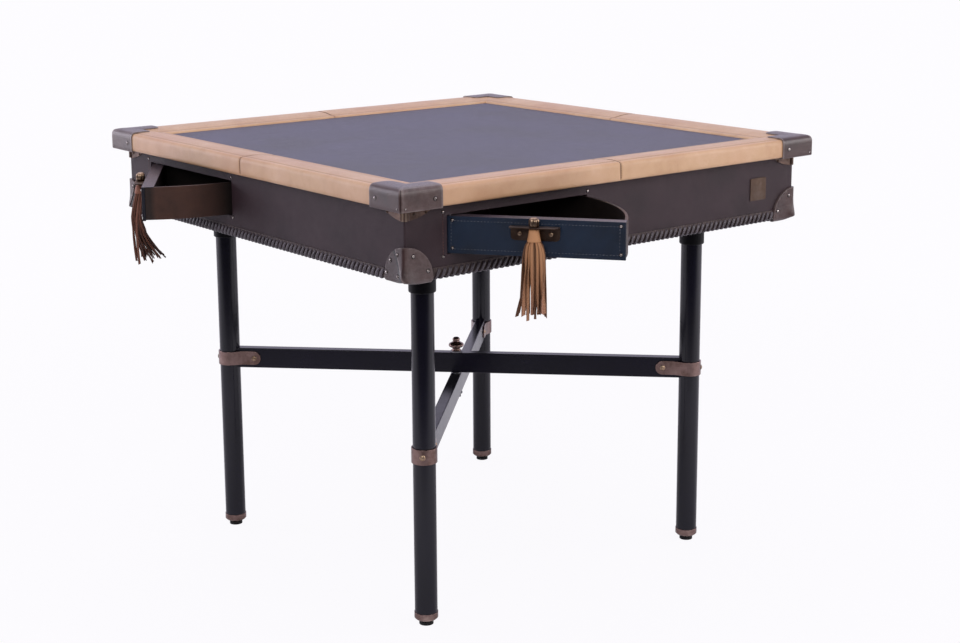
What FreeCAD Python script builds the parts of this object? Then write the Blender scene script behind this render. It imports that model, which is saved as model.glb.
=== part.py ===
# Mahjong table: a leather-covered top with four swing-out quadrant drawers, on a scissor-folding base.
# Millimetres, +Z up. The origin is on the floor, on the table's vertical axis.
# -Y is the front, -X the left.
import FreeCAD
import Part
import math
import os

V = FreeCAD.Vector
UP = V(0, 0, 1)
CENTRE = V(0, 0, 0)

# ---- base: two H-frames that cross on a central bolt ----
leg_inset = 148.0           # rim side to leg centre
leg_radius = 19.0
leg_wall = 1.5
base_height = 621.5         # floor to the collars' top faces
collar_radius = 22.5
collar_length = 53.5
collar_cap = 6.0            # solid end of the collar above the tube
collar_chamfer = 1.2
spigot_radius = 8.0         # locating stub on two of the collars
spigot_length = 16.0
bar_height = 38.0           # stretcher, a rectangular tube on edge
bar_thickness = 20.0
bar_wall = 1.5
bar_corner = 2.0
lower_bar_bottom = 276.0
spacer_washer = 1.1         # between the two stretchers
end_washer = 2.5            # under the bolt head and under the knob
washer_radius = 11.0
bolt_radius = 5.0
bolt_head_height = 6.5
bolt_head_radius = 8.5
bolt_thread_reach = 16.0    # length of bolt inside the knob
strap_height = 26.0         # bronze band round the leg and onto the stretcher
strap_thickness = 2.5
strap_reach = 62.0          # leg centre to the rounded end of the band
strap_bend = 27.0           # leg centre to the foot of the band's bend
rivet_radius = 2.5
rivet_head_radius = 5.0
rivet_head_height = 2.2
cap_radius = 20.0           # bronze foot cap
cap_height = 13.0
cap_floor = 6.0             # threaded for the glide
cap_chamfer = 3.0
glide_radius = 12.0
glide_height = 8.0
glide_stem_radius = 4.0
glide_stem_length = 28.0
glide_gap = 1.0             # glide disc to foot cap, screwed right in
knob_radius = 14.2
knob_height = 26.0

# ---- top: heights above the top's resting plane ----
table_side = 910.0          # over the rim
seat_gap = 0.3              # collar to the block above it, at rest
block_side = 150.0          # wooden block in each corner of the box, over a leg
block_thickness = 24.2
socket_slack = 0.5          # radial, spigot in the block
panel_thickness = 9.0       # bottom panel, on the blocks
apron_thickness = 14.0
apron_inset = 22.5          # rim side to apron face
apron_corner = 3.0
apron_over_drawer = 18.5    # apron strip above the openings
rim_height = 33.0           # rim's underside to its crown
rim_width = 74.0
rim_lap = 14.0              # rail over the top board's edge
rim_corner = 5.0
rim_side_height = 26.0      # straight part of the rim's side
rim_shoulder_width = 7.0
rim_shoulder_height = 32.4
rim_inner_height = 25.0     # rim's underside to the top of its inner edge
rim_inner_round = 4.0
play_thickness = 2.5
play_recess = 8.5           # crown down to the play surface
binding_height = 14.0       # edging over the apron's lower edge
binding_thickness = 1.2

# ---- drawers: quadrants that turn on a pin at the left end of each opening ----
pivot_from_corner = 91.0    # apron corner to the pin, along the face
pivot_depth = 9.5           # apron face to the pin
pin_radius = 4.0
pin_bury = 16.0             # pin driven into the apron above and below the opening
drawer_radius = 274.0       # pin to the free end of the drawer's front
drawer_height = 56.5
drawer_front_thickness = 12.0
drawer_front_round = 2.0
drawer_gap = 1.5            # running gap round the drawer's front
drawer_lift = 2.0           # drawer above the bottom panel and under the opening's top edge
tray_wall = 6.0
tray_front_wall = 9.0       # the tray's wall behind the drawer's front
tray_floor = 5.0
tray_step = 1.0             # curved wall behind the end of the front
tray_drop = 0.5             # tray's edge below the front's edge
front_open_angle = 52.2     # how far the front and back drawers stand open
side_open_angle = 32.4      # how far the left and right drawers stand open
divider_thickness = 12.0    # boards between the drawer spaces
divider_gap = 6.0           # opening's end to the divider
pull_width = 76.0
pull_plate_height = 23.0
pull_below_edge = 10.0      # drawer's top edge to the pull's lip
pull_sheet = 2.0
pull_lip_depth = 21.0
pull_corner = 6.0
bead_radius = 8.2
bead_height = 14.5
bead_flutes = 10
bead_flute_depth = 1.1
bead_neck_radius = 3.0      # stub through the lip's hole
tassel_standoff = 12.0      # drawer face to the tassel's middle
tassel_head_radius = 8.5
tassel_facets = 16
tassel_gap = 0.4            # lip to the tassel's head
tassel_length = 144.5
tassel_sections = ((0.12, 9.2, 8.6), (0.25, 14.0, 9.0), (0.43, 18.5, 9.0),
                   (0.70, 19.5, 9.0), (1.0, 21.5, 9.0))   # part of the length, half width, half depth

# ---- corner fittings ----
guard_thickness = 2.2       # moulded leather guard over each rim corner
guard_length = 77.0
guard_reach = 40.0          # how far it covers the rim's top
guard_round = 8.0
guard_drop = 1.5            # guard below the rim
guard_return = 8.0          # turned in under the rim
patch_thickness = 2.5       # leather cap round each lower corner
patch_radius = 52.0
bracket_thickness = 1.5     # half-moon brass bracket under the rim
bracket_length = 47.0
bracket_depth = 19.5
bracket_ridge = 2.9
bracket_gap = 0.2
plate_side = 40.0           # bare metal plate on the front
plate_thickness = 1.2
plate_corner = 2.0
plate_from_corner = 91.0
plate_middle_up = 57.0      # apron's lower edge to the plate's middle

# ---- fits ----
running_fit = 0.08          # radial, pins and shafts
assembly_fit = 0.1          # radial, tubes in sleeves
face_gap = 0.2              # between faces that slide on each other

# ---- places worked out from the sizes ----
half_side = table_side / 2
leg_offset = half_side - leg_inset   # leg centre from the table's axis, along X and along Y
apron_half = half_side - apron_inset
apron_inner = apron_half - apron_thickness
seat = base_height + seat_gap
apron_bottom = seat + binding_thickness
underside = seat + block_thickness
panel_top = underside + panel_thickness
drawer_bottom = panel_top + drawer_lift
drawer_top = drawer_bottom + drawer_height
opening_top = drawer_top + drawer_lift
apron_top = opening_top + apron_over_drawer
crown_height = apron_top + rim_height
play_top = crown_height - play_recess
field_half = half_side - rim_width
board_half = field_half + rim_lap
cap_bottom = glide_height + glide_gap
tube_bottom = cap_bottom + cap_floor
tube_top = base_height - collar_cap
upper_bar_bottom = lower_bar_bottom + bar_height + spacer_washer + 2 * face_gap
upper_bar_top = upper_bar_bottom + bar_height
knob_bottom = upper_bar_top + end_washer + face_gap
pivot_x = -apron_half + pivot_from_corner
pivot_y = -apron_half + pivot_depth
opening_right = pivot_x + drawer_radius + drawer_gap
tray_radius = drawer_radius - tray_step
front_back_y = -apron_half + drawer_front_thickness
lip_top = drawer_top - pull_below_edge
pull_middle = pivot_x + drawer_radius / 2
tassel_y = -apron_half - tassel_standoff
tassel_pivot_z = lip_top - pull_sheet - tassel_gap - tassel_head_radius
tall = crown_height + 100.0  # longer than any cut needs

sides = (("front", 0, front_open_angle), ("right", 90, side_open_angle),
         ("back", 180, front_open_angle), ("left", 270, side_open_angle))
lower_legs = (("front_left", -1, -1), ("back_right", 1, 1))
upper_legs = (("front_right", 1, -1), ("back_left", -1, 1))


# ---- helpers ----
def box(x0, x1, y0, y1, z0, z1):
    return Part.makeBox(x1 - x0, y1 - y0, z1 - z0, V(x0, y0, z0))


def rod(x, y, z0, z1, radius):
    return Part.makeCylinder(radius, z1 - z0, V(x, y, z0), UP)


def turned(points, x, y):
    """A solid turned about the vertical line through (x, y); points are (radius, height)."""
    outline = [V(r, 0, z) for r, z in points]
    face = Part.Face(Part.makePolygon(outline + outline[:1]))
    solid = face.revolve(CENTRE, UP, 360)
    solid.translate(V(x, y, 0))
    return solid


def prism(edges, z0, z1):
    """An outline in plan, drawn at height 0, raised between two heights."""
    face = Part.Face(Part.Wire(edges))
    solid = face.extrude(V(0, 0, z1 - z0))
    solid.translate(V(0, 0, z0))
    return solid


def polygon_prism(points, z0, z1):
    corners = [V(x, y, 0) for x, y in points]
    return prism(Part.makePolygon(corners + corners[:1]).Edges, z0, z1)


def turn(shape, angle, x=0.0, y=0.0):
    copy = shape.copy()
    copy.rotate(V(x, y, 0), UP, angle)
    return copy


def four(shape):
    """The same piece on all four sides of the table."""
    return Part.makeCompound([turn(shape, angle) for _, angle, _ in sides])


def rounded_square(half, corner, z0, z1):
    block = box(-half, half, -half, half, z0, z1)
    uprights = [e for e in block.Edges if abs(e.Vertexes[0].Z - e.Vertexes[1].Z) > (z1 - z0) / 2]
    return block.makeFillet(corner, uprights)


def edges_along(shape, test):
    """The edges whose middle passes the test."""
    return [e for e in shape.Edges if test(e.CenterOfMass)]


# ---- base ----
def leg(x, y):
    return rod(x, y, tube_bottom, tube_top, leg_radius).cut(
        rod(x, y, tube_bottom, tube_top, leg_radius - leg_wall))


def collar(x, y, with_spigot):
    """A sleeve with a solid top end, over the tube."""
    bore = leg_radius + assembly_fit
    foot = base_height - collar_length
    sleeve = turned([(bore, foot), (collar_radius - collar_chamfer, foot),
                     (collar_radius, foot + collar_chamfer), (collar_radius, base_height),
                     (0, base_height), (0, tube_top), (bore, tube_top)], x, y)
    if with_spigot:
        sleeve = sleeve.fuse(rod(x, y, base_height, base_height + spigot_length, spigot_radius))
    return sleeve


def foot_cap(x, y):
    """A turned cup that closes the tube, its floor bored for the glide's stem."""
    stem = glide_stem_radius + running_fit
    socket = leg_radius + assembly_fit
    rim = cap_bottom + cap_height
    return turned([(stem, cap_bottom), (cap_radius - cap_chamfer, cap_bottom),
                   (cap_radius, cap_bottom + cap_chamfer), (cap_radius, rim), (socket, rim),
                   (socket, tube_bottom), (stem, tube_bottom)], x, y)


def glide(x, y):
    """A levelling foot: a disc on a threaded stem."""
    stem_top = glide_height + glide_stem_length
    return turned([(0, 0), (glide_radius, 0), (glide_radius, glide_height - 2.5),
                   (glide_radius - 3, glide_height), (glide_stem_radius, glide_height),
                   (glide_stem_radius, stem_top), (0, stem_top)], x, y)


def stretcher(bottom):
    """A rectangular tube along the frame's length (drawn along X), coped to the round legs."""
    reach = leg_offset * math.sqrt(2)
    tube = box(-reach, reach, -bar_thickness / 2, bar_thickness / 2, bottom, bottom + bar_height)
    tube = tube.makeFillet(bar_corner, edges_along(tube, lambda c: abs(c.x) < 1))
    hollow = box(-reach, reach, -bar_thickness / 2 + bar_wall, bar_thickness / 2 - bar_wall,
                 bottom + bar_wall, bottom + bar_height - bar_wall)
    tube = tube.cut(hollow)
    tube = tube.cut(rod(0, 0, bottom, bottom + bar_height, bolt_radius + running_fit))
    for end in (-reach, reach):
        tube = tube.cut(rod(end, 0, bottom, bottom + bar_height, leg_radius + assembly_fit))
    for rivet_x in tab_rivets():
        hole = Part.makeCylinder(rivet_radius + assembly_fit, 2 * bar_thickness,
                                 V(rivet_x, -bar_thickness, bottom + bar_height / 2), V(0, 1, 0))
        tube = tube.cut(hole)
    return tube


def tab_rivets():
    reach = leg_offset * math.sqrt(2)
    middle = reach - strap_reach + strap_height / 2
    return (-middle, middle)


def strap_outline(grow, tab_end):
    """Plan outline of a band round a leg at the origin whose two tabs run towards +X."""
    half = bar_thickness / 2 + assembly_fit + grow
    radius = leg_radius + assembly_fit + grow
    distance = math.hypot(strap_bend, half)
    tangent = math.acos(radius / distance) + math.atan2(half, strap_bend)
    touch = V(radius * math.cos(tangent), radius * math.sin(tangent), 0)
    below = V(touch.x, -touch.y, 0)
    points = [touch, V(strap_bend, half, 0), V(tab_end, half, 0), V(tab_end, -half, 0),
              V(strap_bend, -half, 0), below]
    lines = [Part.makeLine(a, b) for a, b in zip(points, points[1:])]
    return lines + [Part.Arc(below, V(-radius, 0, 0), touch).toShape()]


def strap(bottom):
    """A bronze band for the leg at the origin, open towards +X, with round-ended tabs."""
    z0 = bottom + (bar_height - strap_height) / 2
    z1 = z0 + strap_height
    band = prism(strap_outline(strap_thickness, strap_reach), z0, z1)
    band = band.cut(prism(strap_outline(0, strap_reach + 1), z0, z1))
    round_x = strap_reach - strap_height / 2
    side_view = box(-2 * leg_radius, round_x, -2 * leg_radius, 2 * leg_radius, z0, z1)
    side_view = side_view.fuse(Part.makeCylinder(strap_height / 2, 4 * leg_radius,
                                                 V(round_x, -2 * leg_radius, (z0 + z1) / 2), V(0, 1, 0)))
    band = band.common(side_view)
    across = Part.makeCylinder(rivet_radius + assembly_fit, 4 * leg_radius,
                               V(round_x, -2 * leg_radius, (z0 + z1) / 2), V(0, 1, 0))
    return band.cut(across)


def domed_head(at, outward):
    """A rivet's low dome, standing on a surface."""
    ball_radius = (rivet_head_radius ** 2 + rivet_head_height ** 2) / (2 * rivet_head_height)
    ball = Part.makeSphere(ball_radius, at - outward * (ball_radius - rivet_head_height))
    disc = Part.makeCylinder(rivet_head_radius + 1, rivet_head_height + 1, at, outward)
    return ball.common(disc)


def strap_rivets(bottom):
    """A through rivet for the tabs, and a domed one on the leg's outer side."""
    middle = bottom + bar_height / 2
    round_x = strap_reach - strap_height / 2
    face = bar_thickness / 2 + assembly_fit + strap_thickness
    shank = Part.makeCylinder(rivet_radius, 2 * face, V(round_x, -face, middle), V(0, 1, 0))
    through = shank.fuse(domed_head(V(round_x, face, middle), V(0, 1, 0)))
    through = through.fuse(domed_head(V(round_x, -face, middle), V(0, -1, 0)))
    back = leg_radius + assembly_fit + strap_thickness
    outer = domed_head(V(-back, 0, middle), V(-1, 0, 0))
    return [through, outer]


def at_leg(shape, sx, sy):
    """Moves a piece drawn for a leg at the origin, open towards +X, to a corner, open towards the middle."""
    placed = turn(shape, math.degrees(math.atan2(-sy, -sx)))
    placed.translate(V(sx * leg_offset, sy * leg_offset, 0))
    return placed


def pivot_bolt():
    top = knob_bottom + bolt_thread_reach
    head_top = lower_bar_bottom - face_gap - end_washer
    corners = [(bolt_head_radius * math.cos(math.radians(a)), bolt_head_radius * math.sin(math.radians(a)))
               for a in range(0, 360, 60)]
    head = polygon_prism(corners, head_top - bolt_head_height, head_top)
    return head.fuse(rod(0, 0, head_top, top, bolt_radius))


def base_washers():
    def ring(z, thickness):
        return rod(0, 0, z, z + thickness, washer_radius).cut(
            rod(0, 0, z, z + thickness, bolt_radius + assembly_fit))
    return Part.makeCompound([
        ring(lower_bar_bottom - face_gap - end_washer, end_washer),
        ring(lower_bar_bottom + bar_height + face_gap, spacer_washer),
        ring(upper_bar_top, end_washer)])


def knob():
    """The finial nut: a waisted foot, a wide rounded disc and a small stepped dome."""
    z = knob_bottom
    wide = knob_radius
    bore = bolt_radius + running_fit
    bore_top = z + bolt_thread_reach + 1
    return turned([(bore, z), (8.0, z), (7.0, z + 4), (wide - 1, z + 8.5), (wide, z + 10.5),
                   (wide - 1.5, z + 13), (6.4, z + 18), (6.6, z + 22), (2.5, z + knob_height),
                   (0, z + knob_height), (0, bore_top), (bore, bore_top)], 0, 0)


# ---- top ----
def bottom_panel():
    half = apron_inner - assembly_fit
    return box(-half, half, -half, half, underside, panel_top)


def corner_blocks():
    """Blocks that carry the top's weight onto the legs; two have sockets for the spigots."""
    far = apron_inner - binding_thickness - assembly_fit
    blocks = []
    for legs, has_socket in ((lower_legs, False), (upper_legs, True)):
        for _, sx, sy in legs:
            block = box(far - block_side, far, far - block_side, far, seat, underside)
            block = block.makeFillet(3.0, edges_along(block, lambda c: c.x < far - block_side + 1
                                                      and c.y < far - block_side + 1))
            if has_socket:
                block = block.cut(rod(leg_offset, leg_offset, seat, underside, spigot_radius + socket_slack))
            blocks.append(turn(block, math.degrees(math.atan2(sy, sx)) - 45))
    return Part.makeCompound(blocks)


def mitre_wedge(half):
    """Everything on the front side of the two diagonals."""
    return polygon_prism([(0, 0), (-half, -half), (half, -half)], 0, tall)


def apron_wall():
    wall = rounded_square(apron_half, apron_corner, apron_bottom, apron_top)
    wall = wall.common(mitre_wedge(apron_half + 1))
    wall = wall.common(box(-apron_half, apron_half, -apron_half, -apron_inner, apron_bottom, apron_top))
    opening = box(pivot_x, opening_right, -apron_half - 1, -apron_inner + 1, panel_top, opening_top)
    swing_room = pivot_depth + drawer_gap
    round_end = rod(pivot_x, pivot_y, panel_top, opening_top, swing_room)
    round_end = round_end.fuse(box(pivot_x - swing_room, pivot_x, -apron_half - 1, pivot_y,
                                   panel_top, opening_top))
    pin_hole = rod(pivot_x, pivot_y, panel_top - pin_bury, opening_top + pin_bury, pin_radius)
    return wall.cut(opening).cut(round_end).cut(pin_hole)


def top_board():
    half = board_half - assembly_fit
    return box(-half, half, -half, half, apron_top, play_top - play_thickness)


def play_surface():
    half = field_half - assembly_fit
    return box(-half, half, -half, half, play_top - play_thickness, play_top)


def rim_prism(grow, drop):
    """The rim's section along the front side, grown outwards for whatever wraps it."""
    def at(inward, up):
        return V(-half_side - grow, -half_side + inward, apron_top + up)
    side_out = at(-grow, rim_side_height)
    shoulder = at(rim_shoulder_width, rim_shoulder_height + grow)
    crown = at(rim_width / 2 - 4, rim_height + grow)
    inner_top = at(rim_width - rim_inner_round - 6, rim_inner_height + rim_inner_round + grow)
    inner_bulge = at(rim_width - rim_inner_round / 2 - 1, rim_inner_height + rim_inner_round / 2 + grow)
    inner_edge = at(rim_width, rim_inner_height)
    shoulder_mid = at(1.6 - grow * 0.7, rim_side_height + 4.8 + grow * 0.5)
    foot = play_top - play_thickness - apron_top
    edges = [
        Part.makeLine(at(-grow, -drop), side_out),
        Part.Arc(side_out, shoulder_mid, shoulder).toShape(),
        Part.Arc(shoulder, crown, inner_top).toShape(),
        Part.Arc(inner_top, inner_bulge, inner_edge).toShape(),
        Part.makeLine(inner_edge, at(rim_width, foot)),
        Part.makeLine(at(rim_width, foot), at(rim_width - rim_lap, foot)),
        Part.makeLine(at(rim_width - rim_lap, foot), at(rim_width - rim_lap, -drop)),
        Part.makeLine(at(rim_width - rim_lap, -drop), at(-grow, -drop)),
    ]
    bar = Part.Face(Part.Wire(edges)).extrude(V(2 * (half_side + grow), 0, 0))
    bar = bar.common(mitre_wedge(half_side + grow + 1))
    return bar.common(rounded_square(half_side + grow, rim_corner + grow, 0, tall))


def corner_guard(rail):
    """A moulded leather guard that hugs two rails where they meet, at the front left corner."""
    skin = rim_prism(guard_thickness, guard_drop)
    skin = skin.fuse(turn(skin, 270))
    outer = half_side + guard_thickness
    wing = -half_side + guard_length
    inner = -half_side + guard_reach
    along_x = box(-outer, wing, -outer, inner, 0, tall)
    along_x = along_x.makeFillet(guard_round, edges_along(
        along_x, lambda c: c.x > wing - 1 and c.y > inner - 1))
    along_y = box(-outer, inner, -outer, wing, 0, tall)
    along_y = along_y.makeFillet(guard_round, edges_along(
        along_y, lambda c: c.x > inner - 1 and c.y > wing - 1))
    cover = along_x.fuse(along_y)
    skin = skin.common(cover)
    skin = skin.cut(rail).cut(turn(rail, 270))
    return skin.cut(rounded_square(half_side - guard_return, rim_corner, 0, apron_top))


def corner_shell(thickness, z0, z1, floor):
    """A skin of one thickness round the apron's front left corner, closed below if it has a floor."""
    outer = rounded_square(apron_half + thickness, apron_corner + thickness, z0, z1)
    inner_bottom = z0 + floor
    shell = outer.cut(rounded_square(apron_half, apron_corner, inner_bottom, z1))
    return shell.common(box(-half_side, 0, -half_side, 0, z0, z1))


def lower_patch():
    """A leather cap whose two wings are quarter discs, folded round the apron's lower corner."""
    z0 = apron_bottom - patch_thickness
    shell = corner_shell(patch_thickness, z0, apron_bottom + patch_radius, patch_thickness)
    corner = -apron_half
    disc_y = Part.makeCylinder(patch_radius, table_side, V(corner, -half_side, apron_bottom), V(0, 1, 0))
    disc_x = Part.makeCylinder(patch_radius, table_side, V(-half_side, corner, apron_bottom), V(1, 0, 0))
    inside = box(-apron_inner, 0, -apron_inner, 0, z0, apron_bottom)
    return shell.common(disc_y).common(disc_x).cut(inside)


def corner_bracket():
    """A half-moon brass plate folded round the corner under the rim, with two upright ridges at the fold."""
    z1 = apron_top - bracket_gap
    z0 = apron_top - bracket_depth
    shell = corner_shell(bracket_thickness, z0, z1, 0)
    radius = (bracket_length ** 2 + bracket_depth ** 2) / (2 * bracket_depth)
    corner = -apron_half
    moon_y = Part.makeCylinder(radius, table_side, V(corner, -half_side, z0 + radius), V(0, 1, 0))
    moon_x = Part.makeCylinder(radius, table_side, V(-half_side, corner, z0 + radius), V(1, 0, 0))
    plate = shell.common(moon_y).common(moon_x)
    out = corner - bracket_thickness
    along = corner + apron_corner + bracket_ridge / 2
    for x, y in ((out, along), (along, out)):
        plate = plate.fuse(rod(x, y, z0 + 1, z1, bracket_ridge))
    return plate.cut(rounded_square(apron_half, apron_corner, apron_bottom, apron_top))


def edge_binding():
    """A strip folded over the apron's lower edge, between the corner patches."""
    reach = apron_half - patch_radius - 0.5
    outer = box(-reach, reach, -apron_half - binding_thickness, -apron_inner + binding_thickness,
                apron_bottom - binding_thickness, apron_bottom + binding_height)
    low = edges_along(outer, lambda c: abs(c.x) < 1 and c.z < apron_bottom)
    outer = outer.makeFillet(binding_thickness * 0.9, low)
    top = apron_bottom + binding_height
    return outer.cut(box(-reach, reach, -apron_half, -apron_inner, apron_bottom, top))


def face_plate():
    middle_x = apron_half - plate_from_corner
    middle_z = apron_bottom + plate_middle_up
    plate = box(middle_x - plate_side / 2, middle_x + plate_side / 2,
                -apron_half - plate_thickness, -apron_half,
                middle_z - plate_side / 2, middle_z + plate_side / 2)
    mid_depth = -apron_half - plate_thickness / 2
    return plate.makeFillet(plate_corner, edges_along(plate, lambda c: abs(c.y - mid_depth) < 0.01))


def divider():
    """A board beside one drawer space, from the apron to the drawer's innermost reach."""
    left = opening_right + divider_gap
    far = pivot_y + drawer_radius
    return box(left, left + divider_thickness, -apron_inner, far, panel_top, apron_top)


def drawer_pin():
    """A pin driven into the apron, with a shoulder that carries the drawer clear of the panel."""
    shoulder = rod(pivot_x, pivot_y, panel_top, drawer_bottom - face_gap, pivot_depth - 2)
    pin = rod(pivot_x, pivot_y, panel_top - pin_bury, opening_top + pin_bury, pin_radius)
    return pin.fuse(shoulder)


# ---- drawers, drawn shut on the front side ----
def drawer_front():
    """A leather-covered front whose hinge end is a round post turning on the pin."""
    board = box(pivot_x, pivot_x + drawer_radius, -apron_half, front_back_y, drawer_bottom, drawer_top)
    face_edges = edges_along(board, lambda c: c.y < -apron_half + 1 and c.x > pivot_x + 1)
    board = board.makeFillet(drawer_front_round, face_edges)
    post = rod(pivot_x, pivot_y, drawer_bottom, drawer_top, pivot_depth)
    return board.fuse(post).cut(rod(pivot_x, pivot_y, drawer_bottom, drawer_top, pin_radius + running_fit))


def quadrant(radius, left, near, z0, z1):
    """A quarter disc about the pin, cut straight at its left and near sides."""
    disc = rod(pivot_x, pivot_y, z0, z1, radius)
    return disc.common(box(left, pivot_x + radius, near, pivot_y + radius, z0, z1))


def drawer_tray():
    """Floor, curved wall, straight inner wall and the thick wall that backs the drawer's front."""
    top = drawer_top - tray_drop
    tray = quadrant(tray_radius, pivot_x - tray_wall, front_back_y, drawer_bottom, top)
    hollow = quadrant(tray_radius - tray_wall, pivot_x, front_back_y + tray_front_wall,
                      drawer_bottom + tray_floor, top)
    tray = tray.cut(hollow)
    return tray.cut(rod(pivot_x, pivot_y, drawer_bottom, top, pivot_depth + assembly_fit))


def drawer_pull():
    """A bronze plate with its upper edge turned out as a lip, holed for the tassel."""
    left = pull_middle - pull_width / 2
    right = pull_middle + pull_width / 2
    face = -apron_half
    plate = box(left, right, face - pull_sheet, face, lip_top - pull_plate_height, lip_top)
    low_corners = lambda c: (abs(c.y - face + pull_sheet / 2) < 0.01
                             and abs(c.z - lip_top + pull_plate_height) < 0.01)
    plate = plate.makeFillet(pull_corner, edges_along(plate, low_corners))
    lip = box(left, right, face - pull_lip_depth, face - pull_sheet, lip_top - pull_sheet, lip_top)
    front_corners = lambda c: (abs(c.y - face + pull_lip_depth) < 0.01
                               and abs(c.z - lip_top + pull_sheet / 2) < 0.01)
    lip = lip.makeFillet(pull_corner, edges_along(lip, front_corners))
    hole = rod(pull_middle, tassel_y, lip_top - pull_sheet, lip_top, bead_neck_radius + assembly_fit)
    return plate.fuse(lip).cut(hole)


def ring(corners, radii, z, stretch=1.0):
    """Corners round the pull's upright axis whose radii take turns; stretch scales the ring along Y."""
    points = []
    for i in range(corners):
        angle = 2 * math.pi * (i + 0.5) / corners
        radius = radii[i % len(radii)]
        points.append(V(pull_middle + radius * math.cos(angle),
                        tassel_y + radius * stretch * math.sin(angle), z))
    return points


def skinned(rings):
    """A solid with flat facets between rings that have the same number of corners."""
    def facet(*corners):
        return Part.Face(Part.makePolygon(list(corners) + [corners[0]]))
    faces = [facet(*rings[0]), facet(*rings[-1])]
    for low, high in zip(rings, rings[1:]):
        for i in range(len(low)):
            faces.append(facet(low[i - 1], low[i], high[i]))
            faces.append(facet(low[i - 1], high[i], high[i - 1]))
    shell = Part.makeShell(faces)
    shell.sewShape()
    solid = Part.makeSolid(shell)
    if solid.Volume < 0:
        solid.reverse()
    return solid


def pull_bead():
    """A fluted brass barrel on the lip, with a stub through the lip's hole."""
    levels = ((0.0, bead_radius - 1.6), (2.2, bead_radius), (bead_height - 4.5, bead_radius),
              (bead_height - 1.4, bead_radius - 2.4), (bead_height, bead_radius - 5.4))
    flute = 1 - bead_flute_depth / bead_radius
    rings = [ring(2 * bead_flutes, (radius, radius * flute), lip_top + up) for up, radius in levels]
    stub = rod(pull_middle, tassel_y, lip_top - pull_sheet, lip_top, bead_neck_radius)
    return skinned(rings).fuse(stub)


def tassel():
    """The closed outer shape of a leather tassel: a round head that spreads into a fringe."""
    rings = []
    for up in (0.97, 0.72, 0.0):
        wide = tassel_head_radius * math.sqrt(1 - up * up)
        rings.append(ring(tassel_facets, (wide,), tassel_pivot_z + tassel_head_radius * up))
    for part_way, half_width, half_depth in tassel_sections:
        z = lip_top - pull_sheet - tassel_length * part_way
        rings.append(ring(tassel_facets, (half_width,), z, half_depth / half_width))
    return skinned(rings)


# ---- every node, by name ----
def build():
    nodes = {}
    rail = rim_prism(0, 0)
    wall = apron_wall()
    nodes["bottom_panel"] = bottom_panel()
    nodes["corner_blocks"] = corner_blocks()
    nodes["top_board"] = top_board()
    nodes["play_surface"] = play_surface()
    for name, angle, _ in sides:
        nodes["apron_" + name] = turn(wall, angle)
        nodes["rim_rail_" + name] = turn(rail, angle)
    nodes["rim_corner_guards"] = four(corner_guard(rail))
    nodes["corner_brackets"] = four(corner_bracket())
    nodes["lower_corner_patches"] = four(lower_patch())
    nodes["edge_bindings"] = four(edge_binding())
    nodes["compartment_dividers"] = four(divider())
    nodes["drawer_pins"] = four(drawer_pin())
    nodes["face_plate"] = face_plate()

    pieces = {"drawer_front": drawer_front(), "drawer_tray": drawer_tray(), "drawer_pull": drawer_pull(),
              "pull_bead": pull_bead(), "tassel": tassel()}
    for name, angle, opened in sides:
        for piece, shape in pieces.items():
            swung = turn(shape, -opened, pivot_x, pivot_y)
            nodes[piece + "_" + name] = turn(swung, angle)

    for frame, legs, bottom, turned_by in (("lower", lower_legs, lower_bar_bottom, 45),
                                           ("upper", upper_legs, upper_bar_bottom, -45)):
        for name, sx, sy in legs:
            nodes["leg_" + name] = leg(sx * leg_offset, sy * leg_offset)
            nodes["glide_" + name] = glide(sx * leg_offset, sy * leg_offset)
        nodes["stretcher_" + frame] = turn(stretcher(bottom), turned_by)
        nodes["leg_collars_" + frame] = Part.makeCompound(
            [collar(sx * leg_offset, sy * leg_offset, frame == "upper") for _, sx, sy in legs])
        nodes["foot_caps_" + frame] = Part.makeCompound(
            [foot_cap(sx * leg_offset, sy * leg_offset) for _, sx, sy in legs])
        nodes["straps_" + frame] = Part.makeCompound([at_leg(strap(bottom), sx, sy) for _, sx, sy in legs])
        nodes["strap_rivets_" + frame] = Part.makeCompound(
            [at_leg(rivet, sx, sy) for _, sx, sy in legs for rivet in strap_rivets(bottom)])
    nodes["pivot_bolt"] = pivot_bolt()
    nodes["pivot_washers"] = base_washers()
    nodes["finial_knob"] = knob()
    return nodes


os.makedirs("parts", exist_ok=True)
for node, shape in build().items():
    shape.exportStep("parts/" + node + ".step")
    print(f"{node:22s} solids {len(shape.Solids)}  valid {shape.isValid()}"
          f"  volume {shape.Volume / 1000:8.2f} cm3  top {shape.BoundBox.ZMax:6.1f}")
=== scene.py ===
import math
import random
import bmesh
import bpy
from mathutils import Matrix, Vector, noise


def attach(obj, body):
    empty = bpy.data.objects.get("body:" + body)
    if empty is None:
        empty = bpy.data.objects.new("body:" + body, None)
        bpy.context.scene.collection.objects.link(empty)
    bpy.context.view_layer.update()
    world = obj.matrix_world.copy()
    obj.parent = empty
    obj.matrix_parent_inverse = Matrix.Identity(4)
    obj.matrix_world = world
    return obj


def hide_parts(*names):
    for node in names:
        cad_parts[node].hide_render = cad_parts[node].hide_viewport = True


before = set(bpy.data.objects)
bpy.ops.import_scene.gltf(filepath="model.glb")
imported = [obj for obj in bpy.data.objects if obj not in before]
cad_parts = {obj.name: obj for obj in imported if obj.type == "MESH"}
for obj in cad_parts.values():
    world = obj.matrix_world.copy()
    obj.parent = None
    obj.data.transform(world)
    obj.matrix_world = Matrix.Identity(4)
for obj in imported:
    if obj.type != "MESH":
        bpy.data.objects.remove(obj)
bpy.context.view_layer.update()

print("frame: loaded", len(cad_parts), "nodes")

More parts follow.
